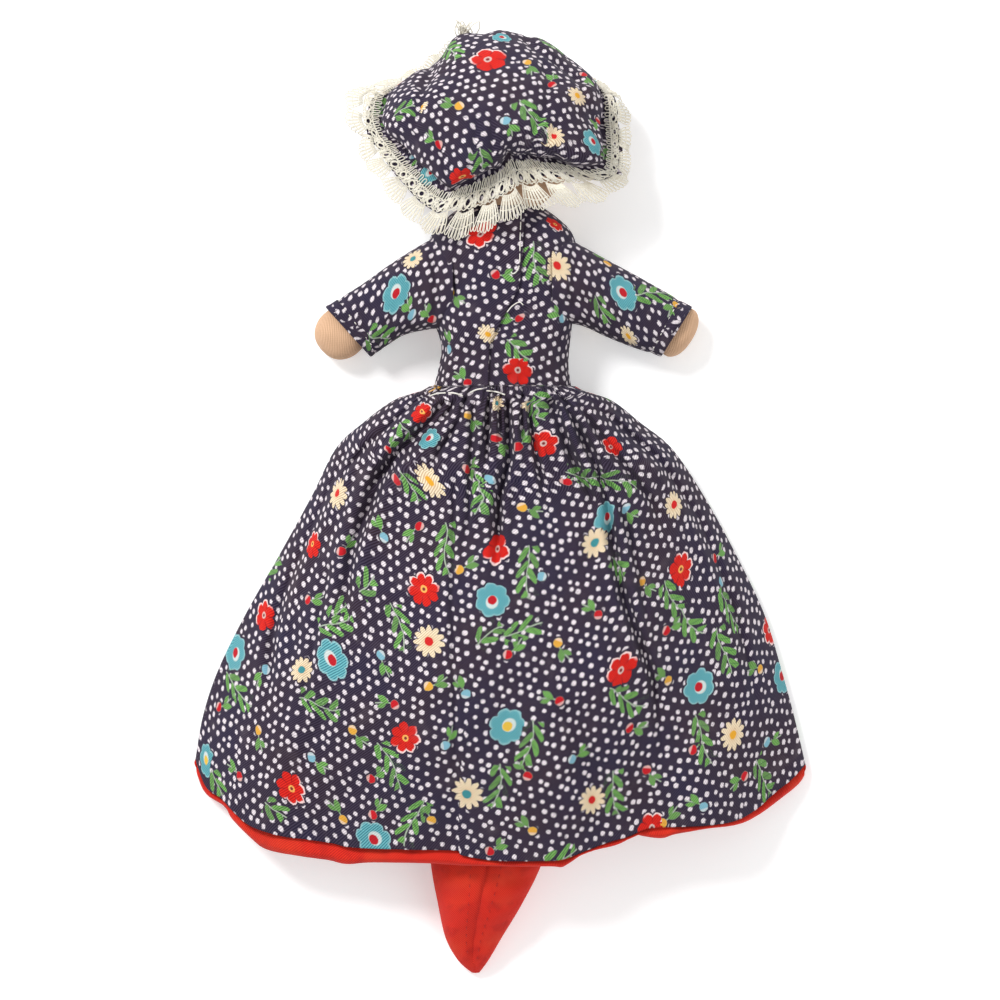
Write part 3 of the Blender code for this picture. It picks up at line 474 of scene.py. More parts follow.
def from_line(x, y, way):
    """Distance from a broken line, its sign (left positive), and the share of the way along."""
    best = np.full(np.shape(x), 1e9)
    sign = np.ones(np.shape(x))
    share = np.zeros(np.shape(x))
    lengths = np.hypot(*np.diff(way, axis=0).T)
    ends = np.concatenate(([0], np.cumsum(lengths)))
    for (ax, ay), (bx, by), start, length in zip(way, way[1:], ends, lengths):
        ux, uy = (bx - ax) / length, (by - ay) / length
        t = np.clip((x - ax) * ux + (y - ay) * uy, 0, length)
        dx, dy = x - ax - ux * t, y - ay - uy * t
        d = np.hypot(dx, dy)
        near = d < best
        best = np.where(near, d, best)
        sign = np.where(near, np.sign(ux * dy - uy * dx), sign)
        share = np.where(near, (start + t) / ends[-1], share)
    return best, sign, share


def smoothed(values, reach, axis, closed=False):
    """Values averaged over their neighbours along an axis, by a bell curve."""
    bell = np.exp(-(np.arange(-3 * reach, 3 * reach + 1) / reach) ** 2)
    bell /= bell.sum()
    pad = [(0, 0)] * values.ndim
    pad[axis] = (3 * reach, 3 * reach)
    wide = np.pad(values, pad, mode="wrap" if closed else "edge")
    count = values.shape[axis]
    return sum(
        share * np.take(wide, np.arange(i, i + count), axis=axis) for i, share in enumerate(bell)
    )


def steps_along(points, reach, axis, closed):
    """Cloth between neighbours: the broad form's length, squeezed where a fold is steep."""
    def lengths(p):
        if closed:
            return np.linalg.norm(np.roll(p, -1, axis=axis) - p, axis=2)
        return np.linalg.norm(np.diff(p, axis=axis), axis=2)

    own, broad = lengths(points), lengths(smoothed(points, reach, axis, closed))
    return own + (broad - smoothed(own, reach, axis, closed)) * 0.65


def cloth_uv(points, closed, middle_column):
    """Place of each point on the flat cloth: across from a middle column, along from the first row."""
    rows, columns = points.shape[:2]
    reach = max(2, columns // 36)
    across = np.zeros((rows, columns + 1 if closed else columns))
    across[:, 1:] = np.cumsum(steps_along(points, reach, 1, closed), axis=1)
    across -= across[:, middle_column : middle_column + 1]
    along = np.zeros((rows, columns))
    along[1:] = -np.cumsum(smoothed(steps_along(points, max(2, rows // 24), 0, False), reach, 1, closed), axis=0)
    if closed:
        along = np.concatenate((along, along[:, :1]), axis=1)
    return np.stack((across, along), axis=2)


def round_uv(points):
    """The same for a round of cloth, drawn in at its rim, from its middle outwards."""
    reach = np.zeros(points.shape[:2])
    reach[1:] = np.cumsum(np.linalg.norm(np.diff(points, axis=0), axis=2), axis=0)
    reach = smoothed(reach, 10, 1, True)
    turns = np.arange(points.shape[1]) * TURN / points.shape[1]
    uv = np.stack((reach * np.cos(turns), reach * np.sin(turns)), axis=2)
    return np.concatenate((uv, uv[:, :1]), axis=1)


def blooms(uv, places, scatter, seed, seen):
    """For each point of the flat cloth's faces, the nearest motif: offset from it, turned, and its code.

    Places are (across, along, kind + chance, turn, size). The cloth that the photograph doesn't show is
    strewn with more.
    """
    chance = np.random.default_rng(seed)
    found = [list(p) for p in places]
    low, high = uv.reshape(-1, 2).min(axis=0), uv.reshape(-1, 2).max(axis=0)
    for spacing, radius, kinds in scatter:
        for u in np.arange(low[0], high[0], spacing):
            for v in np.arange(low[1], high[1], spacing):
                spot = (u + chance.uniform(0, spacing), v + chance.uniform(0, spacing))
                code, turn = chance.choice(kinds) + chance.uniform(0.02, 0.98), chance.uniform(0, TURN)
                if seen(*spot):
                    continue
                if all(math.hypot(spot[0] - p[0], spot[1] - p[1]) > radius + REACH[int(p[2])][2] for p in found):
                    found.append([*spot, code, turn, 1.0])
    found = np.array(found)
    size = found[:, 4]
    start, end, radius = np.array([REACH[int(k)] for k in found[:, 2]]).T * size
    c, s = np.cos(found[:, 3]) / size, np.sin(found[:, 3]) / size
    centres = uv.mean(axis=1)
    nearest = np.empty(len(uv), int)
    for first in range(0, len(uv), 4000):
        off = centres[first : first + 4000, None] - found[None, :, :2]
        x, y = off[..., 0] * c + off[..., 1] * s, off[..., 1] * c - off[..., 0] * s
        x, y = x * size, y * size
        nearest[first : first + 4000] = (np.hypot(x - np.clip(x, start, end), y) - radius).argmin(axis=1)
    off = uv - found[nearest][:, None, :2]
    c, s = c[nearest][:, None], s[nearest][:, None]
    turned = (off[..., 0] * c + off[..., 1] * s, off[..., 1] * c - off[..., 0] * s)
    return np.stack((*turned, np.broadcast_to(found[nearest][:, 2:3], off.shape[:2])), axis=2)


# how far each kind of motif reaches: along its own x from and to, and around that line
REACH = {
    1: (0, 0, 0.0058), 2: (0, 0, 0.0066), 3: (0, 0, 0.0060), 4: (-0.0055, 0.0055, 0.0040), 5: (0, 0.0055, 0.0024),
}


def add_mesh(name, verts, faces, material, uv=None, bloom=None, smooth=True):
    mesh = bpy.data.meshes.new(name)
    mesh.from_pydata([tuple(v) for v in verts], [], [tuple(int(i) for i in f) for f in faces])
    if uv is not None:
        layer = mesh.uv_layers.new(name="cloth")
        layer.data.foreach_set("uv", np.asarray(uv, np.float32).ravel())
    if bloom is not None:
        made = mesh.attributes.new("bloom", "FLOAT_VECTOR", "CORNER")
        made.data.foreach_set("vector", np.asarray(bloom, np.float32).ravel())
    mesh.materials.append(material)
    if smooth:
        mesh.shade_smooth()
    obj = bpy.data.objects.new(name, mesh)
    bpy.context.scene.collection.objects.link(obj)
    return obj


def grid_piece(name, points, closed, material, thickness, middle_column=0, motifs=None, gathered=None,
               is_round=False, inside=None):
    """A sheet from a grid of points, with its flat cloth's UVs, printed where motifs are given.

    Gathered gives for each row how much wider the flat cloth is. The faces look away from a point inside.
    """
    rows, columns = points.shape[:2]
    uv = round_uv(points) if is_round else cloth_uv(points, closed, middle_column)
    if gathered is not None:
        uv[..., 0] *= gathered[:, None]
    wide = columns if closed else columns - 1
    i, j = np.meshgrid(np.arange(rows - 1), np.arange(wide), indexing="ij")
    i, j = i.ravel(), j.ravel()
    k = (j + 1) % columns
    faces = np.stack((i * columns + j, (i + 1) * columns + j, (i + 1) * columns + k, i * columns + k), axis=1)
    corners = np.stack((uv[i, j], uv[i + 1, j], uv[i + 1, j + 1], uv[i, j + 1]), axis=1)
    bloom = None
    if motifs is not None:
        places, seen = motifs(points, uv)
        bloom = blooms(corners, places, SCATTER, len(name) * 7 + rows, seen)
    flat = points.reshape(-1, 3)
    if inside is None:
        inside = flat.mean(axis=0)
    a, b, c, d = (flat[faces[:, n]] for n in range(4))
    outward = (np.cross(c - a, d - b) * ((a + b + c + d) / 4 - np.array(inside))).sum()
    if outward < 0:
        faces = faces[:, ::-1]
        corners = corners[:, ::-1]
        bloom = None if bloom is None else bloom[:, ::-1]
    if bloom is not None:
        bloom = bloom.reshape(-1, 3)
    obj = add_mesh(name, flat, faces, material, corners.reshape(-1, 2), bloom)
    if thickness:
        shell = obj.modifiers.new("cloth", "SOLIDIFY")
        shell.thickness = thickness
        shell.offset = -1
        shell.use_rim = True
    return obj


SCATTER = ((0.026, 0.0135, (1, 2, 3)), (0.016, 0.0075, (4,)), (0.013, 0.0058, (5,)))

# Flowers of the print: their place in the photograph, kind + shade, and size. Kind 1 is red, with 5 to 8
# petals and beyond 0.55 a yellow eye; 2 is teal, beyond 0.72 with a yellow eye; 3 is cream, with a red eye,
# beyond 0.45 an orange one and beyond 0.80 a teal one
PRINT = (
    (263, 617, 1.3, 0.9), (312, 545, 1.6, 0.8), (425, 587, 1.8, 1.05), (407, 733, 1.6, 1), (498, 548, 1.2, 1),
    (620, 668, 1.45, 1), (680, 570, 1.7, 1), (543, 445, 1.3, 0.85), (610, 448, 1.1, 0.7), (423, 412, 1.6, 0.8),
    (770, 630, 1.3, 0.9), (293, 785, 1.6, 0.95), (650, 829, 1.4, 0.9), (480, 236, 1.3, 0.9), (519, 371, 1.45, 0.95),
    (555, 226, 1.6, 0.55), (488, 65, 1.1, 1.1), (463, 182, 1.6, 0.75), (399, 86, 1.2, 0.55),
    (234, 653, 2.4, 0.95), (334, 660, 2.2, 1), (493, 600, 2.5, 0.95), (507, 725, 2.8, 1), (697, 686, 2.6, 0.95),
    (205, 761, 2.9, 0.85), (375, 836, 2.3, 1), (606, 517, 2.1, 0.85), (785, 675, 2.4, 0.9), (429, 439, 2.3, 0.65),
    (396, 293, 2.5, 0.95), (622, 293, 2.2, 0.9), (592, 147, 2.4, 0.8), (502, 40, 2.6, 0.5),
    (303, 668, 3.9, 0.85), (338, 493, 3.2, 0.95), (430, 482, 3.6, 0.95), (430, 639, 3.3, 1), (468, 789, 3.9, 1.05),
    (593, 542, 3.9, 0.9), (672, 503, 3.3, 0.8), (731, 732, 3.6, 0.95), (590, 796, 3.1, 0.95), (497, 405, 3.95, 0.55),
    (528, 405, 3.9, 0.55), (557, 268, 3.2, 0.95), (489, 336, 3.6, 0.65), (414, 259, 3.9, 0.75), (627, 337, 3.6, 0.6),
    (577, 101, 3.7, 0.75), (553, 142, 3.3, 0.75), (422, 114, 3.5, 0.5),
)
# leaf sprays by the two ends of their stems
SPRAYS = (
    (404, 474, 416, 500), (474, 470, 479, 514), (442, 526, 452, 570), (568, 472, 596, 476), (600, 474, 634, 490),
    (533, 398, 545, 418), (400, 425, 408, 440), (525, 545, 531, 600), (360, 586, 374, 576), (330, 615, 348, 606),
    (262, 576, 276, 556), (320, 629, 354, 613), (395, 603, 404, 646), (224, 674, 253, 706), (304, 699, 341, 706),
    (480, 640, 503, 628), (503, 630, 541, 626), (380, 742, 402, 784), (215, 770, 222, 794), (422, 795, 408, 843),
    (500, 760, 492, 803), (664, 582, 680, 608), (680, 608, 700, 630), (716, 594, 738, 622), (718, 628, 727, 672),
    (606, 690, 644, 702), (690, 714, 713, 760), (532, 716, 524, 760), (608, 770, 620, 808), (754, 764, 772, 788),
    (545, 856, 574, 848), (612, 560, 622, 578), (272, 799, 284, 812),
    (533, 246, 541, 284), (507, 344, 530, 358), (635, 304, 674, 291), (370, 330, 388, 342), (598, 300, 608, 322),
    (521, 102, 538, 148), (448, 44, 456, 76), (398, 122, 414, 112), (477, 160, 480, 172), (540, 42, 562, 54),
)
# buds: a place, the place that their stems run to, and a shade: 0.2 red, 0.5 orange, 0.8 blue
BUDS = (
    (385, 539, 375, 520, 0.8), (420, 526, 408, 540, 0.2), (397, 479, 408, 470, 0.2), (467, 470, 476, 462, 0.2),
    (490, 479, 480, 486, 0.8), (565, 483, 574, 476, 0.2), (469, 416, 478, 428, 0.5), (389, 450, 404, 434, 0.2),
    (522, 508, 540, 511, 0.5), (541, 576, 530, 586, 0.8), (459, 570, 470, 562, 0.5), (624, 509, 638, 518, 0.8),
    (641, 582, 653, 590, 0.5), (596, 612, 584, 604, 0.2), (497, 440, 506, 452, 0.2), (516, 446, 526, 434, 0.2),
    (343, 549, 352, 540, 0.2), (309, 599, 318, 596, 0.2), (267, 668, 258, 684, 0.8), (218, 707, 230, 700, 0.2),
    (382, 655, 388, 670, 0.8), (430, 684, 446, 674, 0.5), (466, 691, 454, 674, 0.8), (397, 703, 384, 698, 0.2),
    (258, 730, 262, 744, 0.5), (354, 727, 366, 737, 0.5), (372, 775, 382, 768, 0.2), (314, 754, 326, 765, 0.8),
    (240, 775, 230, 764, 0.2), (344, 816, 334, 804, 0.5), (374, 813, 380, 800, 0.2), (433, 818, 424, 806, 0.5),
    (447, 741, 452, 728, 0.8), (508, 654, 516, 642, 0.2), (557, 640, 565, 652, 0.5), (558, 697, 543, 695, 0.2),
    (628, 723, 646, 724, 0.2), (666, 677, 654, 671, 0.5), (759, 668, 746, 670, 0.5), (691, 747, 698, 738, 0.2),
    (571, 755, 590, 742, 0.8), (527, 771, 520, 762, 0.2), (645, 768, 657, 778, 0.2), (702, 803, 687, 797, 0.8),
    (533, 826, 517, 817, 0.5), (743, 774, 730, 784, 0.2), (767, 742, 778, 738, 0.8), (721, 583, 722, 594, 0.8),
    (664, 628, 676, 622, 0.2), (489, 848, 498, 842, 0.2), (660, 821, 668, 812, 0.5), (715, 560, 724, 548, 0.2),
    (496, 278, 509, 276, 0.2), (451, 292, 460, 300, 0.5), (520, 321, 506, 320, 0.2), (449, 350, 446, 330, 0.8),
    (467, 384, 460, 376, 0.2), (562, 320, 552, 312, 0.8), (676, 305, 668, 312, 0.5), (607, 264, 598, 256, 0.5),
    (432, 320, 426, 310, 0.2), (413, 314, 408, 302, 0.8), (460, 112, 448, 108, 0.5), (551, 90, 552, 76, 0.2),
    (527, 67, 534, 84, 0.5), (583, 77, 590, 88, 0.2), (597, 124, 588, 130, 0.2), (440, 150, 430, 142, 0.2),
    (505, 128, 512, 140, 0.8),
)


def printed(points, uv):
    """The flat-cloth places of the motifs that the photograph shows on this piece's upper side."""
    flat = points.reshape(-1, 3)
    place = uv[:, : points.shape[1]].reshape(-1, 2)
    cell = np.round(flat[:, :2] / UPPER_CELL).astype(int)
    cell = (cell - cell.min(axis=0)) @ np.array((1000, 1))
    top = np.zeros(cell.max() + 1)
    np.maximum.at(top, cell, flat[:, 2])
    upper = flat[:, 2] > top[cell] - UPPER_DEPTH
    lowered = np.where(upper, 0, 1)

    def on_cloth(x, y):
        wx, wy = at(x, y)
        away = np.hypot(flat[:, 0] - wx, flat[:, 1] - wy) + lowered
        nearest = away.argmin()
        return place[nearest] if away[nearest] < 0.0016 else None

    chance = np.random.default_rng(5)
    found = []
    for x, y, code, size in PRINT:
        turn = chance.uniform(0, TURN)
        middle = on_cloth(x, y)
        if middle is not None:
            found.append((*middle, code, turn, size))
    for x0, y0, x1, y1 in SPRAYS:
        start, end = on_cloth(x0, y0), on_cloth(x1, y1)
        if start is None or end is None:
            continue
        heading = end - start
        long = min(0.95, max(0.05, (float(np.hypot(*heading)) / 2 - 0.0035) / 0.005))
        found.append((*(start + end) / 2, 4 + long, math.atan2(heading[1], heading[0]), 1.0))
    for x0, y0, x1, y1, shade in BUDS:
        start, end = on_cloth(x0, y0), on_cloth(x1, y1)
        if start is None or end is None:
            continue
        heading = end - start
        found.append((*start, 5 + shade, math.atan2(heading[1], heading[0]), 1.0))
    hidden = place[~upper] if (~upper).any() else np.array([[9.0, 9.0]])
    hidden = hidden[:: max(1, len(hidden) // 1500)]
    shown = place[upper][:: max(1, int(upper.sum()) // 3000)]

    def seen(u, v):
        return np.hypot(shown[:, 0] - u, shown[:, 1] - v).min() < np.hypot(hidden[:, 0] - u, hidden[:, 1] - v).min()

    return found, seen


def strewn(*_):
    """The same for a piece that the photograph doesn't show."""
    return [], lambda *_: False


def tubes(name, ways, radius, material, sides=5):
    """Threads of round section along broken lines."""
    verts, faces, start = [], [], 0
    turns = np.arange(sides) * TURN / sides
    for way in ways:
        way = np.asarray(way, float)
        along = np.gradient(way, axis=0)
        along /= np.maximum(np.linalg.norm(along, axis=1, keepdims=True), 1e-12)
        up = np.array((0.0, 0.0, 1.0))
        side = np.cross(along, up)
        flat = np.linalg.norm(side, axis=1) < 0.05
        side[flat] = np.cross(along[flat], (1.0, 0.0, 0.0))
        side /= np.maximum(np.linalg.norm(side, axis=1, keepdims=True), 1e-12)
        other = np.cross(side, along)
        ring = way[:, None] + radius * (
            side[:, None] * np.cos(turns)[None, :, None] + other[:, None] * np.sin(turns)[None, :, None]
        )
        verts.append(ring.reshape(-1, 3))
        count = len(way)
        i, j = np.meshgrid(np.arange(count - 1), np.arange(sides), indexing="ij")
        i, j = i.ravel(), j.ravel()
        k = (j + 1) % sides
        here, there = start + i * sides, start + (i + 1) * sides
        faces.extend(np.stack((here + j, here + k, there + k, there + j), axis=1))
        faces.append(np.arange(sides)[::-1] + start)
        faces.append(np.arange(sides) + start + (count - 1) * sides)
        start += count * sides
    return add_mesh(name, np.concatenate(verts), faces, material)


def section(half_width, half_thickness, angle):
    """(x, z) on the rounded section that the body's pieces have, from its middle."""
    c, s = np.cos(angle), np.sin(angle)
    x = np.copysign(np.abs(c) ** (2 / SECTION_POWER), c) * half_width
    z = np.copysign(np.abs(s) ** (2 / SECTION_POWER), s) * half_thickness
    return x, z


# Camera, light and floor

def studio():
    scene = bpy.context.scene
    distance = 2.0
    camera = bpy.data.cameras.new("camera")
    camera.sensor_width = 36
    camera.lens = 36 * (distance - 0.012) / (1000 / PHOTO_SCALE)
    camera.clip_end = 20
    holder = bpy.data.objects.new("camera", camera)
    holder.location = (*at(*PHOTO_CENTRE), distance)
    scene.collection.objects.link(holder)
    scene.camera = holder
    for name, place, size, energy in (
        ("key", (-0.85, 0.95, 1.35), 0.55, 25),
        ("fill", (1.1, -0.4, 1.3), 1.6, 6),
    ):
        lamp = bpy.data.lights.new(name, "AREA")
        lamp.shape = "DISK"
        lamp.size = size
        lamp.energy = energy
        lamp_holder = bpy.data.objects.new(name, lamp)
        lamp_holder.location = place
        aim = -np.array(place)
        lamp_holder.rotation_euler = (
            math.atan2(math.hypot(aim[0], aim[1]), -aim[2]),
            0,
            math.atan2(aim[0], -aim[1]) + math.pi,
        )
        scene.collection.objects.link(lamp_holder)
    world = bpy.data.worlds.new("studio")
    world.use_nodes = True
    world.node_tree.nodes["Background"].inputs[0].default_value = (1, 1, 1, 1)
    world.node_tree.nodes["Background"].inputs[1].default_value = 0.62
    scene.world = world
    scene.view_settings.view_transform = "Standard"
    floor = add_mesh(
        "floor", [(-3, -3, 0), (3, -3, 0), (3, 3, 0), (-3, 3, 0)], [(0, 1, 2, 3)], floor_material(), smooth=False
    )


SURFACES = {}

# Skirt

# (left edge, right edge, drop at the sides, drop in the middle, height), in mm, with even steps between rows
SKIRT_ROWS = (
    (-24.4, 24.4, 0.0, 0.0, 31.4),
    (-27.5, 27.5, 1.6, 4.0, 34.5),
    (-36.5, 36.5, 4.7, 12.6, 37.6),
    (-46.5, 46.0, 12.0, 27.3, 39.2),
    (-55.6, 56.5, 20.5, 41.0, 40.2),
    (-63.8, 67.4, 36.3, 60.0, 43.2),
    (-74.5, 78.2, 55.3, 82.0, 46.6),
    (-85.7, 87.7, 74.3, 104.0, 46.8),
    (-95.0, 93.6, 92.4, 126.0, 43.8),
    (-100.2, 97.9, 107.4, 142.0, 39.4),
    (-102.8, 101.4, 122.0, 158.0, 34.6),
)
HEM = smooth_rows(line(
    (180, 740), (192, 756), (205, 787), (222, 799), (236, 813), (252, 825), (283, 834), (307, 837), (334, 841),
    (358, 845), (456, 847), (460, 851), (485, 856), (500, 857), (537, 857), (561, 856), (586, 847), (606, 840),
    (626, 834), (643, 827), (655, 825), (704, 823), (735, 819), (757, 808), (775, 793), (792, 780), (808, 764),
    (818, 752),
), 200)
LINING_HEM = smooth_rows(line(
    (180, 742), (192, 758), (196, 777), (205, 795), (224, 807), (232, 819), (252, 838), (267, 848), (299, 854),
    (328, 858), (348, 862), (373, 860), (426, 860), (456, 862), (500, 863), (549, 863), (561, 864), (569, 860),
    (586, 850), (614, 843), (627, 837), (634, 832), (643, 834), (661, 836), (674, 832), (704, 827), (737, 824),
    (759, 815), (782, 799), (800, 785), (809, 772), (818, 760),
), 200)
# broad folds over the back: (place across at the waist, at the hem, depth at the waist, at the hem)
FOLD_PLACES = (
    (-0.90, -0.85, 0.6, 0.9),
    (-0.78, -0.60, 1.1, 0.8),
    (-0.50, -0.42, 0.9, 0.0),
    (-0.25, -0.17, 0.5, 0.8),
    (0.00, -0.02, 1.2, 0.0),
    (0.24, 0.30, 0.7, 0.6),
    (0.45, 0.53, 1.0, 1.0),
    (0.80, 0.80, 0.6, 0.9),
)
FOLD_DEPTH = 0.0028
# creases in them: (depth, half width, way down it)
VALLEYS = (
    (3.4, 1.9, line((456, 395), (448, 412), (414, 443), (383, 475), (366, 512), (352, 550), (345, 600), (350, 640))),
    (2.6, 1.3, line((447, 399), (429, 420), (399, 449), (376, 478), (360, 505))),
    (1.8, 1.1, line((431, 392), (414, 403), (372, 441), (345, 470), (325, 510))),
    (1.5, 0.9, line((466, 396), (460, 420), (440, 450), (428, 480))),
    (1.9, 0.9, line((488, 396), (487, 430), (486, 473))),
    (1.4, 0.9, line((474, 398), (472, 440), (471, 468), (469, 515), (462, 560))),
    (3.0, 1.3, line((507, 396), (509, 458), (498, 498), (497, 540), (493, 590))),
    (2.4, 0.9, line((521, 394), (521, 430), (523, 450))),
    (1.6, 0.8, line((498, 396), (499, 422), (501, 440))),
    (1.8, 0.9, line((514, 396), (516, 420))),
    (1.8, 1.0, line((528, 398), (530, 430), (541, 479), (545, 510))),
    (2.4, 1.2, line((546, 396), (558, 420), (568, 450), (591, 498), (603, 530))),
    (2.8, 1.3, line((560, 397), (593, 460), (603, 490), (612, 545), (620, 590), (633, 627), (651, 674),
                    (656, 705), (664, 780))),
    (1.8, 1.2, line((606, 480), (628, 530), (640, 580), (648, 640))),
    (2.0, 1.1, line((576, 402), (600, 438), (625, 468), (650, 502), (668, 540))),
    (2.2, 1.3, line((590, 404), (616, 424), (660, 462), (700, 520), (728, 590), (745, 650), (762, 740))),
    (1.5, 1.1, line((600, 402), (645, 430), (690, 470), (720, 515))),
    (2.4, 1.6, line((350, 440), (322, 500), (296, 560), (281, 597), (271, 638), (270, 682), (262, 730))),
    (1.0, 1.4, line((330, 560), (318, 620), (306, 690), (300, 750))),
    (0.9, 0.8, line((455, 470), (452, 600), (455, 700), (457, 846))),
    (1.2, 3.2, line((330, 700), (300, 760), (285, 830))),
    (1.4, 3.4, line((560, 700), (590, 770), (600, 840))),
)


BACK_COLUMNS, FRONT_COLUMNS = 460, 60


def skirt_places(over):
    """Even places across the back from right to left, or under the front from left to right."""
    count = BACK_COLUMNS if over else FRONT_COLUMNS
    return np.sin(np.pi / 2 * (1 - 2 * np.arange(count) / count)) * (1 if over else -1)


def skirt_grid(rows, gathers=1.0):
    table = smooth_rows(SKIRT_ROWS, rows) * MM
    t = np.linspace(0, 1, rows)[:, None]
    across = np.concatenate((skirt_places(True), skirt_places(False)))[None, :]
    over = (np.arange(BACK_COLUMNS + FRONT_COLUMNS) < BACK_COLUMNS)[None, :]
    left, right, side, middle, height = (table[:, i : i + 1] for i in range(5))
    x = left + (right - left) * (across + 1) / 2
    y = WAIST - (side + (middle - side) * (1 - across**2))
    hem_side, hem_middle = table[-1, 2], table[-1, 3]
    plain_hem = WAIST - (hem_side + (hem_middle - hem_side) * (1 - across**2))
    hem_x = table[-1, 0] + (table[-1, 1] - table[-1, 0]) * (across + 1) / 2
    hem_line = np.interp(hem_x, HEM[:, 0], HEM[:, 1])
    y = y + step((t - 0.45) / 0.55) * (hem_line - plain_hem)
    spread = np.minimum(1, side / 0.036)
    side_height = TORSO_MIDDLE + (0.004 - TORSO_MIDDLE) * spread
    power = 0.4 + 0.35 * spread
    reach = (1 - np.abs(across) ** SECTION_POWER) ** power
    down = middle / (SKIRT_ROWS[-1][3] * MM)
    sunk = 0
    for fold_top, fold_hem, top_depth, hem_depth in FOLD_PLACES:
        away = (across - fold_top - (fold_hem - fold_top) * down) / 0.1
        sunk = sunk + (top_depth + (hem_depth - top_depth) * down) * np.exp(-(away**2))
    sunk = sunk * (1 - across**4) * FOLD_DEPTH * np.minimum(1, 0.3 + 0.7 * down) * step(down / 0.06)
    top = side_height + (height - side_height - sunk) * reach
    half = (right - left) / 2
    rise = np.clip(1 - (1 - np.abs(across)) * half / side_height, 0, 1)
    under = side_height * (1 - np.sqrt(1 - rise**2))
    z = np.where(over, top, under)
    fade = step((1 - np.abs(across)) / 0.12) * step(t / 0.03)
    # fine gathers from the waist seam, set by a fixed uneven spacing
    phase = across * 21 + 1.9 * np.sin(across * 7.3 + 0.5) + 0.8 * np.sin(across * 17 + 2)
    fine = np.cos(phase * np.pi)
    gather = gathers * np.where(over, 1.3, 0.5) * MM * np.exp(-t / 0.15) * (0.35 + 0.65 * step(t / 0.025))
    z = z + fine * gather * (1 - np.abs(across) ** 6)
    soft = np.cos(phase * np.pi / 2.7 + 1) * 0.9 * MM * np.exp(-(((t - 0.16) / 0.13) ** 2))
    z = z + np.where(over, soft * fade, 0)
    dip = np.zeros_like(z)
    for depth, wide, way in VALLEYS:
        away, sign, share = from_line(x, y, way)
        ends = step(share / 0.06) * step((1 - share) / 0.35)
        ends = np.where(share >= 1, 0, ends)
        w = wide * MM
        shape = np.exp(-((away / w) ** 2)) - 0.35 * np.exp(-(((away - 2.4 * w) / (1.2 * w)) ** 2))
        lean = 1 + 0.25 * sign * np.exp(-(((away - w) / w) ** 2))
        dip += depth * MM * shape * ends * lean
    z = z - np.where(over, dip * fade * (0.5 if gathers < 1 else 1.3), 0)
    swell = ripple(x, y, 0.055, 3) * 0.9 + ripple(x, y, 0.022, 4) * 0.35 + ripple(x, y, 0.009, 6) * 0.10
    z = z + np.where(over, swell * MM * fade * step(t / 0.3), 0)
    # the hem stands in soft waves
    wave = np.cos(across * 9.2 + 0.7) * 1.5 * MM * step((t - 0.72) / 0.28)
    z = z + np.where(over, wave * fade, 0)
    points = np.stack(np.broadcast_arrays(x, y, np.maximum(z, 0.0001)), axis=2)
    return points, across, over


def make_skirt():
    rows = 150
    t = np.linspace(0, 1, rows)[:, None]
    outer, across, over = skirt_grid(rows)
    SURFACES["skirt"] = outer
    # its top edge is turned in to the bodice
    turned = outer[:1] * np.array((0.90, 1, 1))
    turned[..., 1] += 0.0004
    turned[..., 2] = TORSO_MIDDLE + (turned[..., 2] - TORSO_MIDDLE) * 0.76
    sheet = np.concatenate((turned, outer))
    gathered = 1 + 0.10 * np.exp(-np.linspace(0, 1, rows + 1) / 0.10)
    skirt = grid_piece("skirt_calico", sheet, True, CALICO, CLOTH, BACK_COLUMNS // 2, printed, gathered)
    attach(skirt, "body")
    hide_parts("skirt")
    inner, _, _ = skirt_grid(rows, 0.0)
    # it stays under the calico's deepest creases nearby, and above the calico under it
    back = np.where(over, outer[..., 2], 1.0)
    lowest = back.copy()
    for row_step in range(-3, 4):
        near = back[np.clip(np.arange(rows) + row_step, 0, rows - 1)]
        for column_step in range(-8, 9):
            lowest = np.minimum(lowest, np.roll(near, column_step, axis=1))
    middle = inner[..., 0].mean(axis=1, keepdims=True)
    half = np.abs(inner[..., 0] - middle).max(axis=1, keepdims=True)
    from_edge = np.clip((1 - np.abs(across)) * half / 0.003, 0, 1)
    near_waist = np.exp(-t / 0.12)
    inset = 0.0003 + (0.0010 + 0.0012 * near_waist) * (1 - step((t - 0.94) / 0.06))
    inner[..., 0] = middle + (inner[..., 0] - middle) * (1 - inset / half)
    below = np.minimum(inner[..., 2] - (0.0015 + 0.0034 * near_waist) * from_edge, lowest - 0.0012 * from_edge)
    inner[..., 2] = np.where(over, np.maximum(below, 0.0011), outer[..., 2] + 0.0010 * from_edge)
    inner[..., 1] -= 0.0014 * np.exp(-t / 0.03)
    # the lining rolls out past the calico's edge
    edge, before = inner[-1], inner[-4]
    reach = np.interp(edge[:, 0], LINING_HEM[:, 0], LINING_HEM[:, 1])
    past = np.minimum(reach - edge[:, 1], -0.0012)
    top = np.concatenate((np.ones(BACK_COLUMNS), np.zeros(FRONT_COLUMNS)))
    slope = np.clip((edge[:, 2] - before[:, 2]) / (edge[:, 1] - before[:, 1]), -0.4, 0.9)
    rolled = []
    for share in np.linspace(0.12, 1, 8):
        row = edge.copy()
        row[:, 1] += past * share
        row[:, 2] += top * (slope * past * share * 0.8 + 0.0006 * math.sin(share * math.pi))
        row[:, 2] -= (1 - top) * 0.0009 * share
        row[:, 2] -= top * 0.0014 * step((share - 0.75) / 0.25)
        row[:, 2] = np.maximum(row[:, 2], 0.0002)
        rolled.append(row)
    inner = np.concatenate((inner, np.array(rolled)))
    lining = grid_piece("skirt_lining_red", inner, True, RED, CLOTH, BACK_COLUMNS // 2)
    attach(lining, "body")
    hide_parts("skirt_lining")


# Bodice

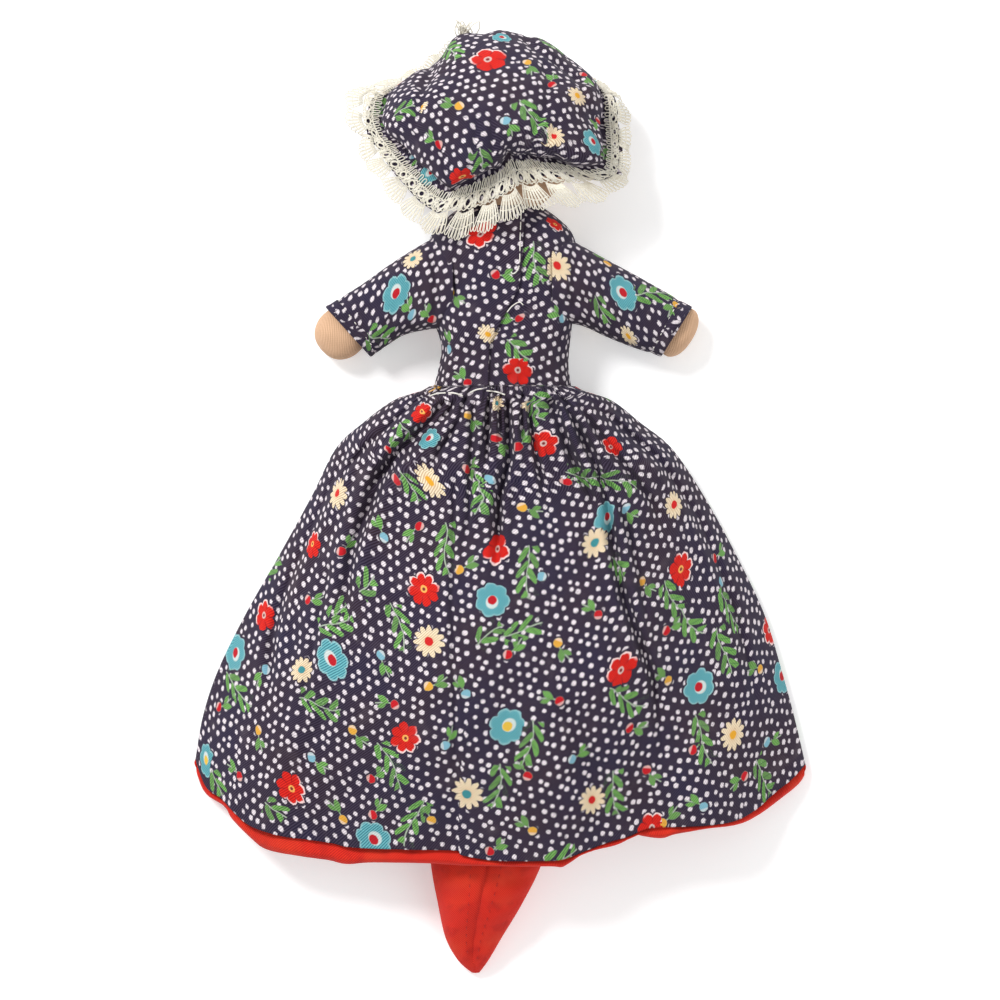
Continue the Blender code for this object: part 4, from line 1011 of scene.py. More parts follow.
# (place along the doll, left edge, right edge, half thickness), in mm, from the waist to the neck
BODICE_ROWS = (
    (34.0, -22.6, 22.6, 12.2),
    (38.0, -22.0, 22.2, 12.5),
    (44.0, -20.6, 21.4, 13.0),
    (51.0, -19.8, 21.8, 13.3),
    (60.0, -22.4, 22.8, 13.7),
    (70.0, -23.2, 23.2, 13.8),
    (79.0, -23.8, 23.8, 13.6),
    (85.0, -24.0, 23.8, 13.0),
    (89.5, -22.0, 21.8, 12.2),
    (93.0, -18.6, 18.2, 11.4),
    (96.0, -14.6, 14.2, 10.6),
    (98.0, -11.0, 10.6, 9.8),
)
# the left back edge, which laps over the right one
LAP = line((524, 205), (522, 240), (521, 268), (518, 290), (505, 315), (491, 345), (489, 370), (488, 400))


def bodice_panel(name, start, end, lift, middle_column, nodes, motifs=printed, columns=56):
    """A panel between two edges round the body, each an angle from +X towards the back for each row."""
    rows = 76
    table = smooth_rows(BODICE_ROWS, rows) * MM
    y, left, right, thick = (table[:, i : i + 1] for i in range(4))
    centre, half = (left + right) / 2, (right - left) / 2
    start, end = (edge(y, centre, half) for edge in (start, end))
    share = np.linspace(0, 1, columns)[None, :]
    angle = start + (end - start) * share
    out = lift(share) if lift else 0
    x, z = section(half + out, thick + out, angle)
    x, z = centre + x, TORSO_MIDDLE + z
    y = np.broadcast_to(y, x.shape)
    back = step((z - TORSO_MIDDLE) / 0.008)
    sag = ripple(x, y, 0.021, 12) * 0.35 + ripple(x, y * 0.6, 0.009, 13) * 0.16
    low = np.exp(-(y - WAIST) / 0.010)
    pucker = np.cos(x * 2300 + 2 * np.sin(x * 400)) * 0.32 * low
    for depth, wide, way in BODICE_CREASES:
        away, _, share_along = from_line(x, y, way)
        ends = step(share_along / 0.15) * step((1 - share_along) / 0.15)
        sag = sag - depth * np.exp(-((away / (wide * MM)) ** 2)) * ends
    z = z + back * (sag + pucker) * MM
    points = np.stack((x, y, z), axis=2)
    SURFACES[name] = points
    panel = grid_piece(name, points, False, CALICO, CLOTH, middle_column, motifs, inside=(0, 0.06, TORSO_MIDDLE))
    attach(panel, "body")
    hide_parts(*nodes)
    return panel


BODICE_CREASES = (
    (1.6, 1.1, line((430, 334), (436, 316), (436, 290), (433, 262), (428, 238))),
    (1.6, 1.1, line((580, 330), (573, 310), (571, 280), (573, 250), (579, 240))),
    (0.9, 1.2, line((446, 330), (455, 305), (452, 275), (456, 250))),
    (0.8, 1.2, line((566, 325), (558, 300), (558, 275), (552, 250))),
    (0.8, 1.0, line((497, 326), (492, 340), (489, 358))),
    (0.5, 1.6, line((448, 352), (480, 360), (520, 352))),
    (0.5, 1.5, line((565, 350), (540, 340), (515, 318))),
    (0.4, 1.4, line((446, 372), (485, 380), (560, 374))),
)


def side_edge(turn):
    return lambda y, centre, half: np.full_like(y, turn)


def lap_edge(shift):
    def edge(y, centre, half):
        order = LAP[::-1]
        x = np.interp(y, order[:, 1], order[:, 0]) + shift - centre
        return np.arccos(np.sign(x) * (np.abs(x) / half) ** (SECTION_POWER / 2))

    return edge


def make_bodice():
    """The front ends just short of the side seams, and the back panels turn a little past them over it."""
    short, past = 0.005, 0.05
    bodice_panel("bodice_front_calico", side_edge(-math.pi + short), side_edge(-short), None, 28,
                 ["bodice_front"], strewn)
    bodice_panel("bodice_right_calico", side_edge(-past), lap_edge(-0.006),
                 lambda share: 0.0006 * (1 - step(share / 0.12)), 20,
                 ["bodice_back_right"])
    bodice_panel("bodice_left_calico", side_edge(math.pi + past), lap_edge(0),
                 lambda share: 0.0006 * (1 - step(share / 0.12)) + 0.0011 * step((share - 0.25) / 0.35), 20,
                 ["bodice_back_left"])


# Torso under the dress

def make_torso():
    rows = []
    for rise, half, thick in (
        (0.0, 18.0, 10.6), (12.0, 17.0, 11.0), (25.0, 19.4, 11.6), (38.0, 20.6, 11.6), (45.0, 19.8, 10.8),
        (49.5, 16.5, 9.6), (52.6, 10.6, 8.4), (56.0, 8.9, 7.9), (60.0, 8.7, 7.8), (64.0, 7.6, 7.0), (66.3, 4.0, 4.4),
        (66.6, 0.4, 0.5),
    ):
        rows.append((rise, half, thick))
    full = [(-r, h, t) for r, h, t in rows[:0:-1]] + rows
    table = smooth_rows(full, 120) * MM
    turns = np.arange(72) * TURN / 72
    rings = []
    for rise, half, thick in table:
        x, z = section(max(half, 0.0002), max(thick, 0.0002), turns)
        rings.append(np.stack((x, np.full_like(x, WAIST + rise), TORSO_MIDDLE + z), axis=1))
    torso = grid_piece("torso_cotton", np.array(rings), True, SKIN, 0, 18)
    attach(torso, "body")
    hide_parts("torso_skin", "torso_stuffing")


# Sleeves and arms

SLEEVES = {
    "left": (
        ((-16.5, 89.0), (-25.0, 85.6), (-36.0, 79.0), (-47.0, 71.4), (-58.6, 64.2)),
        ((-16.5, 57.0), (-25.0, 56.2), (-32.5, 54.6), (-38.0, 51.4), (-43.6, 47.6)),
    ),
    "right": (
        ((16.5, 89.0), (25.0, 84.8), (37.0, 78.4), (50.0, 71.4), (62.8, 64.2)),
        ((16.5, 58.6), (26.0, 57.6), (34.0, 54.2), (43.0, 50.6), (52.4, 47.6)),
    ),
}
# (along the sleeve, lowest, highest) in mm
SLEEVE_HEIGHTS = ((0.0, 3.6, 28.4), (0.22, 2.2, 27.2), (0.5, 0.9, 22.6), (0.75, 0.4, 19.0), (1.0, 0.4, 17.4))
SLEEVE_CREASES = {
    "left": (
        (1.7, 1.2, line((430, 244), (435, 270), (437, 296), (434, 326))),
        (0.8, 1.5, line((372, 352), (392, 322), (398, 300))),
        (0.6, 1.6, line((330, 300), (352, 300), (380, 316))),
        (0.5, 1.6, line((420, 330), (408, 300), (412, 268))),
    ),
    "right": (
        (1.7, 1.2, line((577, 246), (573, 270), (572, 296), (577, 322))),
        (0.7, 1.6, line((600, 330), (604, 300), (598, 270))),
        (0.6, 1.5, line((690, 306), (660, 300), (636, 310))),
        (0.4, 1.6, line((655, 352), (640, 330), (640, 312))),
    ),
}


def sleeve_rings(upper, lower, heights, floor, rows, sides):
    """Sections between two edges seen from above, from the shoulder to the cuff."""
    upper, lower = smooth_rows(upper, rows) * MM, smooth_rows(lower, rows) * MM
    ts = np.linspace(0, 1, rows)
    heights = np.array(heights)
    low = np.interp(ts, heights[:, 0], heights[:, 1]) * MM + floor
    high = np.interp(ts, heights[:, 0], heights[:, 2]) * MM + floor
    turns = np.arange(sides) * TURN / sides
    rings = []
    for u, l, bottom, top in zip(upper, lower, low, high):
        middle, out = (u + l) / 2, (u - l) / 2
        c, s = section(1, 1, turns)
        xy = middle[None] + c[:, None] * out[None]
        z = (bottom + top) / 2 + s * (top - bottom) / 2
        rings.append(np.concatenate((xy, z[:, None]), axis=1))
    return np.array(rings)


def make_sleeve(name, body, rings, creases, material, node, blend_ends, motifs=None):
    points = rings.copy()
    x, y, z = points[..., 0], points[..., 1], points[..., 2]
    rows = len(points)
    t = np.linspace(0, 1, rows)[:, None]
    up = step((z - z.min(axis=1, keepdims=True)) / 0.009 - 0.3)
    sag = ripple(x, y, 0.016, len(name) + 20) * 0.35 + ripple(x, y, 0.007, len(name) + 21) * 0.13
    for depth, wide, way in creases:
        away, _, share = from_line(x, y, way)
        sag = sag - depth * np.exp(-((away / (wide * MM)) ** 2)) * step(share / 0.2) * step((1 - share) / 0.2)
    points[..., 2] += up * sag * MM
    # a turned hem: the cuff is drawn in a little at its stitches and folds back inside
    cuff = points[-1]
    centre = cuff.mean(axis=0)
    pinch = 1 - 0.035 * np.exp(-(((t - 0.90) / 0.02) ** 2)) + 0.012 * step((t - 0.93) / 0.07)
    points = centre_scaled(points, pinch)
    along = (points[-1].mean(axis=0) - points[-4].mean(axis=0))
    along /= np.linalg.norm(along)
    cuff = points[-1]
    centre = cuff.mean(axis=0)
    inside = [centre + (cuff - centre) * k + along * d for k, d in
              ((0.985, 0.0005), (0.955, 0.0006), (0.93, 0.0), (0.92, -0.0015), (0.92, -0.004))]
    points = np.concatenate((points, np.array(inside)))
    points[..., 2] = np.maximum(points[..., 2], 0.00025)
    sleeve = grid_piece(name, points, True, material, 0.0007, 18, motifs)
    if blend_ends:
        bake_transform(sleeve)
    else:
        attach(sleeve, body)
    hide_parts(node)
    return sleeve, points


def centre_scaled(points, factor):
    centre = points.mean(axis=1, keepdims=True)
    return centre + (points - centre) * factor[..., None]


def mitten(name, body, root, out, across, stations, floor, nodes, aside=0.0):
    """A stuffed arm that ends in a plain round hand: stations are (distance, half width, low, high) in mm."""
    table = smooth_rows(stations, 60) * MM
    turns = np.arange(56) * TURN / 56
    rings = []
    for distance, half, low, high in table:
        c, s = np.cos(turns), np.sin(turns)
        half, thick = max(half, 0.0001), max((high - low) / 2, 0.0001)
        x = np.copysign(np.abs(c) ** 0.9, c) * half
        z = np.copysign(np.abs(s) ** 0.9, s) * thick + (high + low) / 2 + floor
        xy = np.array(root) + np.array(out) * distance + np.array(across) * aside * float(step(distance / 0.016 + 1))
        rings.append(np.concatenate((xy[None] + x[:, None] * np.array(across)[None], z[:, None]), axis=1))
    points = np.array(rings)
    bumpy = ripple(points[..., 0], points[..., 1], 0.010, len(name) + 40) * 0.00018
    points[..., 2] += bumpy * step((points[..., 2] - floor) / 0.006)
    points[..., 2] = np.maximum(points[..., 2], 0.0002 + floor)
    arm = grid_piece(name, points, True, SKIN, 0, 14)
    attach(arm, body)
    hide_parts(*nodes)
    return arm


def make_arms():
    for side, sign in (("left", -1), ("right", 1)):
        upper, lower = SLEEVES[side]
        rings = sleeve_rings(upper, lower, SLEEVE_HEIGHTS, 0, 64, 72)
        reach = ((sign * 0.0205, 0.0742, 0.0159), (sign * 0.0335, 0.0682, 0.0159))
        _, points = make_sleeve(f"sleeve_{side}_calico", f"arm_{side}", rings, SLEEVE_CREASES[side], CALICO,
                                f"sleeve_{side}", reach, printed)
        SURFACES[side] = points
        u, l = np.array(upper[-1]) * MM, np.array(lower[-1]) * MM
        cuff, across = (u + l) / 2, (u - l) / np.linalg.norm(u - l)
        out = np.array((across[1], -across[0]))
        out *= sign * np.sign(out[0])
        past = HAND_PAST[side]
        palm = HAND_SIZE[side]
        mitten(f"arm_{side}_cotton", f"arm_{side}", cuff + across * ARM_ASIDE[side] * MM, out, across, (
            (-27.0, 7.6, 6.6, 20.0), (-20.0, 7.8, 4.6, 19.0), (-12.0, 8.0, 3.0, 16.8), (-5.0, 8.8 * palm, 1.9, 15.4),
            (0.0, 9.6 * palm, 1.3, 15.2), (past * 0.35, 9.7 * palm, 0.9, 15.0), (past * 0.62, 8.6 * palm, 0.9, 14.2),
            (past * 0.84, 6.4 * palm, 1.6, 12.4), (past * 0.965, 3.4 * palm, 3.6, 9.8), (past, 0.02, 6.78, 6.82),
        ), 0, [f"arm_{side}", f"arm_{side}_stuffing"], aside=HAND_ASIDE[side] * MM)


HAND_PAST = {"left": 11.2, "right": 6.4}
ARM_ASIDE = {"left": -1.0, "right": -0.6}
HAND_ASIDE = {"left": 2.4, "right": 1.0}
HAND_SIZE = {"left": 0.88, "right": 0.92}


# Lower doll, under the skirt

def make_lower_doll():
    floor = 0.0026
    for side, sign in (("left", -1), ("right", 1)):
        joint = np.array((sign * SHOULDER_OUT, WAIST - LOWER_SHOULDER))
        slope = math.radians(48)
        out = np.array((sign * math.cos(slope), -math.sin(slope)))
        across = np.array((sign * math.sin(slope), math.cos(slope)))
        places = ((-12.0, 10.2), (-3.0, 10.6), (8.0, 10.2), (18.0, 9.8), (27.0, 9.4))
        upper = [tuple((joint + out * d * MM + across * w * MM) / MM) for d, w in places]
        lower = [tuple((joint + out * d * MM - across * w * MM) / MM) for d, w in places]
        heights = ((0.0, 2.4, 21.4), (0.4, 1.6, 19.2), (1.0, 0.0, 15.4))
        rings = sleeve_rings(upper, lower, heights, floor, 48, 60)
        reach = tuple(tuple(np.append(joint + out * far, TORSO_MIDDLE)) for far in (-0.009, 0.002))
        sleeve, _ = make_sleeve(f"lower_sleeve_{side}_red", f"lower_arm_{side}", rings, (), RED,
                                f"lower_sleeve_{side}", reach)
        cuff = joint + out * 0.027
        mitten(f"lower_arm_{side}_cotton", f"lower_arm_{side}", cuff, out, across, (
            (-21.0, 5.0, 6.0, 15.0), (-16.0, 7.8, 3.0, 17.0), (-6.0, 8.0, 1.2, 15.2), (0.0, 8.0, 0.9, 14.0),
            (4.0, 8.0, 0.9, 13.8), (7.2, 6.9, 1.2, 12.8), (9.6, 4.8, 2.4, 10.8), (11.0, 2.2, 4.2, 8.8),
            (11.3, 0.02, 6.48, 6.52),
        ), floor, [f"lower_arm_{side}", f"lower_arm_{side}_stuffing"])
    rows, columns = 60, 72
    for name, start, end, node, flat in (
        ("lower_bodice_front_red", -math.pi + 0.03, -0.03, "lower_bodice_front", (0.064, 0.058)),
        ("lower_bodice_back_red", math.pi - 0.03, 0.03, "lower_bodice_back", (0.064, 0.058)),
    ):
        table = smooth_rows(BODICE_ROWS[1:], rows) * MM
        y = 2 * WAIST - table[:, :1] - 0.0008
        half = (table[:, 2:3] - table[:, 1:2]) / 2
        angle = np.linspace(start, end, columns)[None, :]
        x, z = section(half, table[:, 3:4], angle)
        y = np.broadcast_to(y, x.shape)
        z = TORSO_MIDDLE + z + ripple(x, y, 0.018, 31) * 0.00025
        points = np.stack((x, y, z), axis=2)
        panel = grid_piece(name, points, False, RED, CLOTH, 36, inside=(0, 0.01, TORSO_MIDDLE))
        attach(panel, "body")
        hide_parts(node)


# (place along, middle, half width, lowest, highest, angle of the lower edge), in mm and degrees
HOOD_ROWS = (
    (-19.8, 0.0, 13.6, 12.6, 31.6, -25),
    (-25.6, 0.0, 20.0, 7.6, 34.6, -25),
    (-34.3, 0.0, 25.2, 3.4, 37.4, -25),
    (-44.5, 0.0, 27.4, 2.4, 38.2, -25),
    (-57.0, -0.6, 26.2, 2.4, 38.0, -26),
    (-82.0, -1.8, 23.4, 2.4, 34.6, -57),
    (-107.5, -4.0, 20.6, 2.4, 29.6, -90),
    (-121.5, -5.4, 18.8, 1.8, 25.6, -90),
    (-134.5, -7.4, 14.6, 0.6, 20.4, -90),
    (-146.5, -9.6, 9.8, 0.4, 13.6, -90),
    (-154.5, -9.8, 5.4, 0.4, 8.2, -90),
    (-159.0, -9.0, 1.4, 0.4, 3.2, -90),
)


def make_hood():
    rows, columns = 130, 46
    table = smooth_rows(HOOD_ROWS, rows)
    y, centre, half, low, high = (table[:, i : i + 1] * MM for i in range(5))
    start = np.radians(np.clip(table[:, 5:], -90, -20))
    half = np.maximum(half, 0.001)
    for name, side, node in (("hood_right_red", 1, "hood_right"), ("hood_left_red", -1, "hood_left")):
        angle = start + (np.pi / 2 - start) * np.linspace(0, 1, columns)[None, :]
        x, z = section(half, (high - low) / 2, angle)
        z = z + (high + low) / 2
        along = np.broadcast_to(y, x.shape)
        # drawn in along the middle seam
        seam = np.exp(-((x / 0.0016) ** 2)) * step((z - low) / (high - low) * 1.6 - 0.6)
        swell = ripple(x * side, along, 0.020, 51) * 0.4 + ripple(x * side, along, 0.008, 52 + side) * 0.18
        up = step((z - low) / np.maximum(high - low, 0.004) * 1.5)
        calm = step((high - low) / 0.012)
        z = z - seam * 0.0011 * calm + up * swell * MM * calm
        points = np.stack((centre + side * (np.maximum(x, 0) - 0.0003), along, np.maximum(z, 0.0003)), axis=2)
        # the tip is closed
        tip = np.array((centre[-1, 0], y[-1, 0], (low[-1, 0] + high[-1, 0]) / 2))
        points[-1] = tip + (points[-1] - tip) * 0.03
        SURFACES[name] = points
        hood = grid_piece(name, points, False, RED, CLOTH, columns - 1, inside=(0, -0.05, 0.02))
        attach(hood, "lower_head")
        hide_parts(node)


HEAD_SIZE = 0.026, 0.029, 0.0185


def head_top(x, y):
    """Height of the capped head's upper side over a place."""
    low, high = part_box("head_skin")
    wide, long, thick = HEAD_SIZE
    away = ((x - (low[0] + high[0]) / 2) / wide) ** 2 + ((y - (low[1] + high[1]) / 2) / long) ** 2
    return high[2] - thick + thick * np.sqrt(np.maximum(1 - away, 0))


def make_head(name, body, node, towards, lowered=0.0):
    low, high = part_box(node)
    centre = (np.array(low) + np.array(high)) / 2
    wide, long, thick = HEAD_SIZE
    middle_z = float(high[2]) - thick - lowered
    floor = float(low[2])
    rows, columns = 56, 72
    polar = np.linspace(0.002, np.pi - 0.002, rows)[:, None]
    turns = (np.arange(columns) * TURN / columns)[None, :]
    y = -np.cos(polar) * towards
    x, z = np.sin(polar) * np.cos(turns), np.sin(polar) * np.sin(turns)
    chin = np.maximum(-towards * y, 0)
    x = x * (1 - 0.1 * chin**2)
    z = middle_z + z * thick
    # pressed flat where it lies on the floor
    soft = floor + 0.0014
    z = np.where(z < soft, soft - 0.001 + 0.001 * np.exp(np.minimum(z - soft, 0) / 0.002), z)
    x, y = np.broadcast_arrays(x * wide + centre[0], centre[1] + y * long)
    points = np.stack((x, y, z), axis=2)
    SURFACES[name] = points
    head = grid_piece(name, points, True, SKIN, 0, 54)
    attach(head, body)
    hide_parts(node, node.replace("skin", "stuffing"))


# Cap

CAP_CENTRE = np.array(at(495, 118))
# where the calico ends and the lace's heading begins
SEEN_OUTLINE = line(
    (604, 100), (603, 122), (606, 150), (604, 170), (580, 173), (568, 168), (555, 166), (530, 162), (509, 163),
    (501, 173), (484, 181), (463, 189), (450, 196), (438, 190), (422, 175), (406, 160), (396, 146), (384, 137),
    (380, 122), (385, 97), (402, 82), (427, 66), (438, 55), (450, 42), (466, 34), (494, 31), (517, 32),
    (542, 39), (568, 56), (586, 70), (600, 86),
)
LACE_OUTLINE = line(
    (632, 118), (630, 150), (629, 185), (612, 200), (590, 207), (562, 213), (535, 212), (508, 226), (478, 240),
    (450, 243), (428, 238), (402, 216), (378, 182), (358, 158), (362, 140), (344, 118), (344, 97), (374, 84),
    (396, 78), (424, 58), (447, 40), (462, 31), (484, 36), (505, 37), (540, 44), (568, 62), (592, 84), (618, 90),
)


def outline_radius(outline, angles):
    """Distance of an outline from the cap's centre, at angles from +X."""
    off = outline - CAP_CENTRE
    around, away = np.arctan2(off[:, 1], off[:, 0]), np.hypot(*off.T)
    order = np.argsort(around)
    around, away = around[order], away[order]
    around = np.concatenate((around[-3:] - TURN, around, around[:3] + TURN))
    away = np.concatenate((away[-3:], away, away[:3]))
    angles = (angles + np.pi) % TURN - np.pi
    return np.interp(angles, around, away)


CAP_MIDDLE_Y = WAIST + 0.0840
# (puff, size, height) from the middle of the crown to the gathers
CROWN_ROWS = (
    (0.00, 0.001, 1.0), (0.0, 0.25, 0.995), (0.0, 0.48, 0.97), (0.10, 0.70, 0.91), (0.32, 0.88, 0.80),
    (0.66, 0.97, 0.62), (0.93, 1.0, 0.44), (1.0, 1.0, 0.28), (0.62, 1.0, 0.14), (0.10, 1.0, 0.03),
    (0.0, 1.0, 0.0),
)
CAP_COLUMNS = 360


# creases of the crown: (depth, half width, way along it)
CAP_CREASES = (
    (2.0, 1.8, line((430, 150), (416, 130), (424, 92), (440, 56), (452, 40))),
    (1.8, 1.5, line((512, 168), (532, 140), (548, 104), (544, 66), (522, 40), (505, 30))),
    (1.3, 1.2, line((600, 150), (590, 118), (578, 84), (560, 62))),
    (1.8, 1.2, line((470, 192), (474, 160), (477, 132), (480, 110))),
    (1.8, 1.2, line((452, 198), (446, 168), (440, 145), (438, 128))),
    (1.6, 1.1, line((496, 180), (493, 155), (492, 135), (490, 115))),
    (1.4, 1.1, line((534, 166), (546, 150), (556, 130), (566, 115))),
    (1.4, 1.1, line((428, 184), (422, 165), (412, 150), (404, 132))),
    (1.2, 1.0, line((484, 184), (483, 168), (485, 150))),
    (1.2, 1.0, line((556, 170), (568, 156), (578, 146))),
    (2.0, 1.3, line((521, 35), (545, 56), (572, 77), (606, 94))),
)


def cap_grid():
    """The crown and brim from above: rows from the middle of the crown out to the brim's edge."""
    along, outwards = np.array((0, 0.7454, -0.6666)), np.array((0, 0.6666, 0.7454))
    centre = np.array((0, CAP_MIDDLE_Y + 0.0031, 0.0194))
    theta = np.arange(CAP_COLUMNS) * TURN / CAP_COLUMNS
    c, s = np.cos(theta), np.sin(theta)
    table = smooth_rows(CROWN_ROWS, 90)
    puff_end = np.where(s > 0, 0.0085, 0.0038)
    puff_out = 0.0078 + (puff_end - 0.0078) * s**2
    phase = theta * 15 + 1.6 * np.sin(theta * 2 + 1) + 1.1 * np.sin(theta * 5 + 2) + 0.5 * np.sin(theta * 9)
    rows = []
    for puff, size, height in table:
        near = math.exp(-max(height, 0) / 0.16)
        far = math.exp(-((height - 0.55) / 0.35) ** 2) * (1 if size > 0.3 else 0)
        pleat = np.cos(phase) * 0.0011 * near + np.cos(phase / 2.3 + 1.4) * 0.0008 * far
        pleat += np.cos(phase * 2.17 + 2) * 0.0004 * near
        out = puff * puff_out + pleat
        x = (0.0284 * size + out) * c - 0.002 * min(1, height / 0.25)
        y = (0.0250 * size + out) * s
        p = centre[None] + np.stack((x, 0 * x, 0 * x), axis=1) + y[:, None] * along + outwards * height * 0.0262
        rows.append(p)
    crown = np.array(rows)
    off = crown[..., :2] - CAP_CENTRE
    around, away = np.arctan2(off[..., 1], off[..., 0]), np.hypot(off[..., 0], off[..., 1])
    # how far it reaches in each of these slices, and how far the photograph shows it to
    slices = 72
    place = (around + np.pi) / TURN * slices
    bins = place.astype(int) % slices
    reach = np.array([away[bins == b].max() if (bins == b).any() else 0.03 for b in range(slices)])
    reach = np.convolve(np.concatenate((reach[-2:], reach, reach[:2])), np.ones(5) / 5, "valid")
    reach = np.concatenate((reach[-1:], reach, reach[:1]))
    model = np.interp(place - 0.5, np.arange(-1, slices + 1), reach)
    wanted = outline_radius(SEEN_OUTLINE, around) - 0.0011 * (1 - np.clip(np.sin(around), 0, 1))
    ratio = 1 + (wanted / model - 1) * step(away / model)
    crown[..., :2] = CAP_CENTRE + off * ratio[..., None]
    x, y = crown[..., 0], crown[..., 1]
    swell = ripple(x, y, 0.020, 61) * 0.5 + ripple(x, y, 0.009, 62) * 0.18
    crown += outwards * (swell * MM * step((table[:, 2] - 0.3) / 0.4)[:, None])[..., None]
    dip = np.zeros(crown.shape[:2])
    for depth, wide, way in CAP_CREASES:
        away, _, share = from_line(crown[..., 0], crown[..., 1], way)
        dip += depth * np.exp(-((away / (wide * MM)) ** 2)) * step(share / 0.1) * step((1 - share) / 0.4)
    crown -= outwards * (dip * MM * step((table[:, 2] - 0.05) / 0.3)[:, None])[..., None]
    # nowhere does the head show through it
    head_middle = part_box("head_skin")[1][2] - HEAD_SIZE[2]
    over_head = crown[..., 2] > head_middle - 0.002
    top = head_top(crown[..., 0], crown[..., 1])
    lacking = np.maximum(top + 0.0014 - crown[..., 2], 0) * step((top - head_middle) / 0.003)
    crown[..., 2] += np.where(over_head, lacking, 0)
    # the brim goes out from the gathers to its edge
    inner = crown[-1]
    off = inner[:, :2] - CAP_CENTRE
    around, away = np.arctan2(off[:, 1], off[:, 0]), np.hypot(*off.T)
    brow, nape = np.clip(np.sin(around), 0, 1), np.clip(-np.sin(around), 0, 1)
    edge = outline_radius(SEEN_OUTLINE, around) + 0.0046 + 0.0036 * nape - 0.0069 * step(brow / 0.6)
    edge = np.maximum(edge, away + 0.0015)
    fall = 0.0028 * (1 - nape) * (1 - brow) + 0.0012 * nape
    brim = []
    ruffle = np.cos(phase * 0.9) * 0.0009 + np.cos(phase * 0.43 + 2) * 0.0008
    for share in np.linspace(0, 1, 14)[1:]:
        r = away + (edge - away) * share
        p = inner.copy()
        p[:, 0], p[:, 1] = CAP_CENTRE[0] + np.cos(around) * r, CAP_CENTRE[1] + np.sin(around) * r
        p[:, 2] = np.maximum(p[:, 2] - fall * share + ruffle * share, 0.0012)
        covering = np.sin(around) < 0.2
        p[:, 2] = np.where(covering, np.maximum(p[:, 2], head_top(p[:, 0], p[:, 1]) + 0.0014), p[:, 2])
        brim.append(p)
    return crown, np.array(brim), around


def lace_grid(inner, brim, around):
    """The lace from its heading, sewn on over the brim, out to its own outline, in loose ruffles."""
    rings = np.concatenate((inner[None], brim))
    reach = np.hypot(*(rings[..., :2] - CAP_CENTRE).transpose(2, 0, 1))
    under = step((np.sin(around) - 0.25) / 0.35)
    start = outline_radius(SEEN_OUTLINE, around) * (1 - under) + (reach[0] + 0.0005) * under
    outer = np.maximum(outline_radius(LACE_OUTLINE, around), start + 0.003)
    nape, brow = np.clip(-np.sin(around), 0, 1), np.clip(np.sin(around), 0, 1)
    turns = np.unwrap(around)
    phase = turns * 17 + 2.0 * np.sin(turns * 3 + 1) + 1.1 * np.sin(turns * 7 + 2)
    fall = 0.0050 * (1 - nape) * (1 - brow) + 0.0020 * nape
    rows = []
    for share in np.linspace(0, 1, 30):
        swing = 0.0010 * np.sin(phase) * share**1.2
        r = start + (outer - start) * share
        height = np.array([np.interp(r[k], reach[:, k], rings[:, k, 2]) for k in range(len(r))])
        past = step((r - reach[-1]) / np.maximum(outer - reach[-1], 0.001))
        z = height + 0.0007 - fall * past + np.cos(phase) * 0.0016 * past
        rows.append(np.stack((
            CAP_CENTRE[0] + np.cos(around) * r - np.sin(around) * swing,
            CAP_CENTRE[1] + np.sin(around) * r + np.cos(around) * swing,
            np.maximum(z, 0.0007),
        ), axis=1))
    return np.array(rows)


class Strip:
    """A closed strip of cloth to lay threads on: place along it in mm, and across from its inner edge in mm."""

    def __init__(self, rows, across_from, across_to):
        self.rows = np.concatenate((rows, rows[:, :1]), axis=1)
        middle = self.rows[len(rows) * 2 // 3]
        lengths = np.linalg.norm(np.diff(middle, axis=0), axis=1)
        self.ends = np.concatenate(([0], np.cumsum(lengths))) * 1000
        self.length = self.ends[-1]
        self.low, self.high = across_from, across_to

    def place(self, along, across):
        along, across = np.asarray(along, float) % self.length, np.asarray(across, float)
        column = np.interp(along, self.ends, np.arange(len(self.ends)))
        row = (across - self.low) / (self.high - self.low) * (len(self.rows) - 1)
        row = np.clip(row, 0, len(self.rows) - 1.001)
        column = np.clip(column, 0, self.rows.shape[1] - 1.001)
        i, j = row.astype(int), column.astype(int)
        f, g = (row - i)[:, None], (column - j)[:, None]
        a, b = self.rows[i, j], self.rows[i, j + 1]
        c, d = self.rows[i + 1, j], self.rows[i + 1, j + 1]
        return (a * (1 - g) + b * g) * (1 - f) + (c * (1 - g) + d * g) * f


